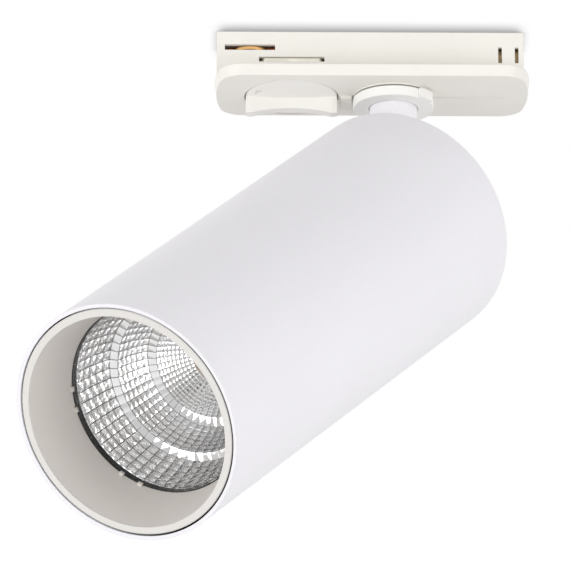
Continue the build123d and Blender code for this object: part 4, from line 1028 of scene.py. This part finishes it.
class SPOTLIGHT_OT_studio(bpy.types.Operator):
    """Camera, soft boxes, white surroundings, pale floor and the ceiling that the adapter touches"""

    bl_idname = "spotlight.studio"
    bl_label = "Studio"

    def execute(self, context):
        look = context.scene.spotlight_studio
        self.camera(context, look)
        self.surroundings(context, look)
        self.floor(look)
        self.ceiling(look)
        self.lamp("key_box", look.key_power, look.key_place, look.key_size)
        self.lamp("fill_box", look.fill_power, look.fill_place, look.fill_size)
        context.scene.view_settings.view_transform = "Standard"
        return {"FINISHED"}

    def ways(self, look):
        """Right, up and forward of the camera."""
        yaw, rise = look.yaw, look.look_up
        forward = Vector((math.sin(yaw) * math.cos(rise), math.cos(yaw) * math.cos(rise), math.sin(rise)))
        right = Vector((math.cos(yaw), -math.sin(yaw), 0))
        return right, right.cross(forward), forward

    def camera(self, context, look):
        right, above, forward = self.ways(look)
        aim = HEAD.pivot - right * look.aim_left - above * look.aim_down
        data = bpy.data.cameras.new("studio_camera")
        data.lens = look.lens
        data.sensor_width = 36.0
        data.clip_end = 50.0
        eye = bpy.data.objects.new("studio_camera", data)
        turn = Matrix((right, above, -forward)).transposed().to_4x4()
        eye.matrix_world = Matrix.Translation(aim - forward * look.distance) @ turn
        context.scene.collection.objects.link(eye)
        context.scene.camera = eye

    def surroundings(self, context, look):
        """White for the camera, softer overhead for the light, and darker around the camera for mirrors."""
        world = bpy.data.worlds.new("white_surroundings")
        context.scene.world = world
        world.use_nodes = True
        tree = world.node_tree
        tree.nodes.clear()
        way = node(tree, "ShaderNodeTexCoord", (0, 0)).outputs["Generated"]
        path = node(tree, "ShaderNodeLightPath", (1, 2)).outputs
        height = node(tree, "ShaderNodeSeparateXYZ", (1, 0), {0: way}).outputs["Z"]
        dome = spread(tree, (2, 4), height, *SKY_FALL, look.sky, look.sky * look.top_share, soft=True)
        rise = spread(tree, (2, 0), height, *MIRROR_RISE, *MIRROR_TONES, soft=True)
        facing = vector_calc(tree, (1, -2), "DOT_PRODUCT", way, self.ways(look)[2] * -1)["Value"]
        room = spread(tree, (2, -2), facing, *ROOM_CONE, 1.0, look.room_tone, soft=True)
        mirrored = calc(tree, (3, -1), "MULTIPLY", rise, room)
        seen = calc(tree, (2, 2), "MAXIMUM", path["Is Camera Ray"], path["Is Transmission Ray"])
        lights = []
        for row, strength in enumerate((dome, 1.0, mirrored)):
            made = node(tree, "ShaderNodeBackground", (3, row), {"Color": WHITE, "Strength": strength})
            lights.append(made.outputs[0])
        shown = mix_shader(tree, (4, 2), seen, lights[0], lights[1])
        both = mix_shader(tree, (5, 1), path["Is Glossy Ray"], shown, lights[2])
        node(tree, "ShaderNodeOutputWorld", (6, 1), {0: both})

    def sheet(self, name, half, level, material):
        data = bpy.data.meshes.new(name)
        corners = [(-half, -half, level), (half, -half, level), (half, half, level), (-half, half, level)]
        data.from_pydata(corners, [], [(0, 1, 2, 3)])
        data.materials.append(material)
        made = bpy.data.objects.new(name, data)
        bpy.context.scene.collection.objects.link(made)
        return made

    def floor(self, look):
        """Pale paper, clear from below so that the object can be seen from there."""
        material, tree, shader = start_finish("floor_paper", Roughness=0.9)
        tone_base(tree, shader, grain(tree, 2.0 * MM, 0.5)["Tone"], look.paper_colour, 0.99)
        shader.inputs["Emission Color"].default_value = WHITE
        seen = node(tree, "ShaderNodeLightPath", (1, 3)).outputs["Is Camera Ray"]
        glow = calc(tree, (3, 3), "MULTIPLY", seen, look.paper_glow)
        tree.links.new(glow, shader.inputs["Emission Strength"])
        below = node(tree, "ShaderNodeNewGeometry", (5, 3)).outputs["Backfacing"]
        clear = node(tree, "ShaderNodeBsdfTransparent", (5, 5)).outputs[0]
        both = mix_shader(tree, (9, 3), below, shader.outputs[0], clear)
        tree.links.new(both, tree.nodes["Material Output"].inputs["Surface"])
        self.sheet("studio_floor", look.floor_half, -look.floor_drop, material)

    def ceiling(self, look):
        """Seen by the camera from below only: white, with a soft shadow around the adapter's box."""
        material = bpy.data.materials.new("ceiling_paint")
        material.use_nodes = True
        tree = material.node_tree
        tree.nodes.clear()
        shut = node(tree, "ShaderNodeAmbientOcclusion", (0, -2), {"Distance": look.contact_reach},
                    samples=32).outputs["AO"]
        dark = spread(tree, (1, -2), shut, *CONTACT_OPEN, look.contact_tone)
        top = [point.x for point in node_points("front_shell") if point.z > -TOP_SKIN]
        middle, half = (min(top) + max(top)) / 2, (max(top) - min(top)) / 2
        fade = look.contact_fade / 2
        x = node(tree, "ShaderNodeSeparateXYZ", (1, -4), {0: object_place(tree, (0, -4))}).outputs["X"]
        far = calc(tree, (3, -4), "ABSOLUTE", calc(tree, (2, -4), "SUBTRACT", x, middle))
        within = spread(tree, (4, -4), far, half - fade, half + fade, 1.0, 0.0, soft=True)
        glow = node(tree, "ShaderNodeEmission", (2, 0),
                    {"Color": WHITE, "Strength": mix_number(tree, (2, -2), within, 1.0, dark)}).outputs[0]
        clear = node(tree, "ShaderNodeBsdfTransparent", (3, 2)).outputs[0]
        above = node(tree, "ShaderNodeNewGeometry", (0, 2)).outputs["Backfacing"]
        seen = node(tree, "ShaderNodeLightPath", (0, 0)).outputs["Is Camera Ray"]
        shown = calc(tree, (3, 1), "MULTIPLY", seen, calc(tree, (2, 1), "SUBTRACT", 1.0, above))
        node(tree, "ShaderNodeOutputMaterial", (5, 1), {0: mix_shader(tree, (4, 1), shown, clear, glow)})
        self.sheet("studio_ceiling", look.ceiling_half, CEILING_GAP, material).data.flip_normals()

    def lamp(self, name, strength, place, size):
        data = bpy.data.lights.new(name, "AREA")
        data.shape = "SQUARE"
        data.size = size
        data.energy = strength
        made = bpy.data.objects.new(name, data)
        made.location = place
        aim = HEAD.front.lerp(HEAD.pivot, 0.5)
        made.rotation_euler = (aim - Vector(place)).to_track_quat("-Z", "Y").to_euler()
        bpy.context.scene.collection.objects.link(made)


class SPOTLIGHT_PT_pieces(bpy.types.Panel):
    """Lists the pieces in the order they are dressed"""

    bl_label = "Track Spotlight"
    bl_idname = "SPOTLIGHT_PT_pieces"
    bl_space_type = "VIEW_3D"
    bl_region_type = "UI"
    bl_category = "Spotlight"

    def draw(self, context):
        for operator in OPERATORS:
            self.layout.operator(operator.bl_idname)
        for name in SETTINGS:
            group = getattr(context.scene, name)
            box = self.layout.box()
            for key in group.__annotations__:
                box.prop(group, key)


SETTINGS = {
    "spotlight_adapter": AdapterFinish,
    "spotlight_head": HeadFinish,
    "spotlight_reflector": ReflectorShape,
    "spotlight_light": LightSource,
    "spotlight_studio": Studio,
}

OPERATORS = (
    SPOTLIGHT_OT_adapter_shells,
    SPOTLIGHT_OT_adapter_hardware,
    SPOTLIGHT_OT_locking_lever,
    SPOTLIGHT_OT_contact_carriers,
    SPOTLIGHT_OT_stem,
    SPOTLIGHT_OT_head_shell,
    SPOTLIGHT_OT_reflector,
    SPOTLIGHT_OT_light_source,
    SPOTLIGHT_OT_heat_sink,
    SPOTLIGHT_OT_driver,
    SPOTLIGHT_OT_tilt_joint,
    SPOTLIGHT_OT_studio,
)


def register():
    for group in SETTINGS.values():
        bpy.utils.register_class(group)
    for operator in OPERATORS:
        bpy.utils.register_class(operator)
    bpy.utils.register_class(SPOTLIGHT_PT_pieces)
    for name, group in SETTINGS.items():
        setattr(bpy.types.Scene, name, PointerProperty(type=group))


def unregister():
    for name in SETTINGS:
        delattr(bpy.types.Scene, name)
    bpy.utils.unregister_class(SPOTLIGHT_PT_pieces)
    for operator in reversed(OPERATORS):
        bpy.utils.unregister_class(operator)
    for group in reversed(list(SETTINGS.values())):
        bpy.utils.unregister_class(group)


def main():
    register()
    bpy.ops.spotlight.adapter_shells()
    bpy.ops.spotlight.adapter_hardware()
    bpy.ops.spotlight.locking_lever()
    bpy.ops.spotlight.contact_carriers()
    bpy.ops.spotlight.stem()
    bpy.ops.spotlight.head_shell()
    bpy.ops.spotlight.reflector()
    bpy.ops.spotlight.light_source()
    bpy.ops.spotlight.heat_sink()
    bpy.ops.spotlight.driver()
    bpy.ops.spotlight.tilt_joint()
    bpy.ops.spotlight.studio()


if __name__ == "__main__":
    main()
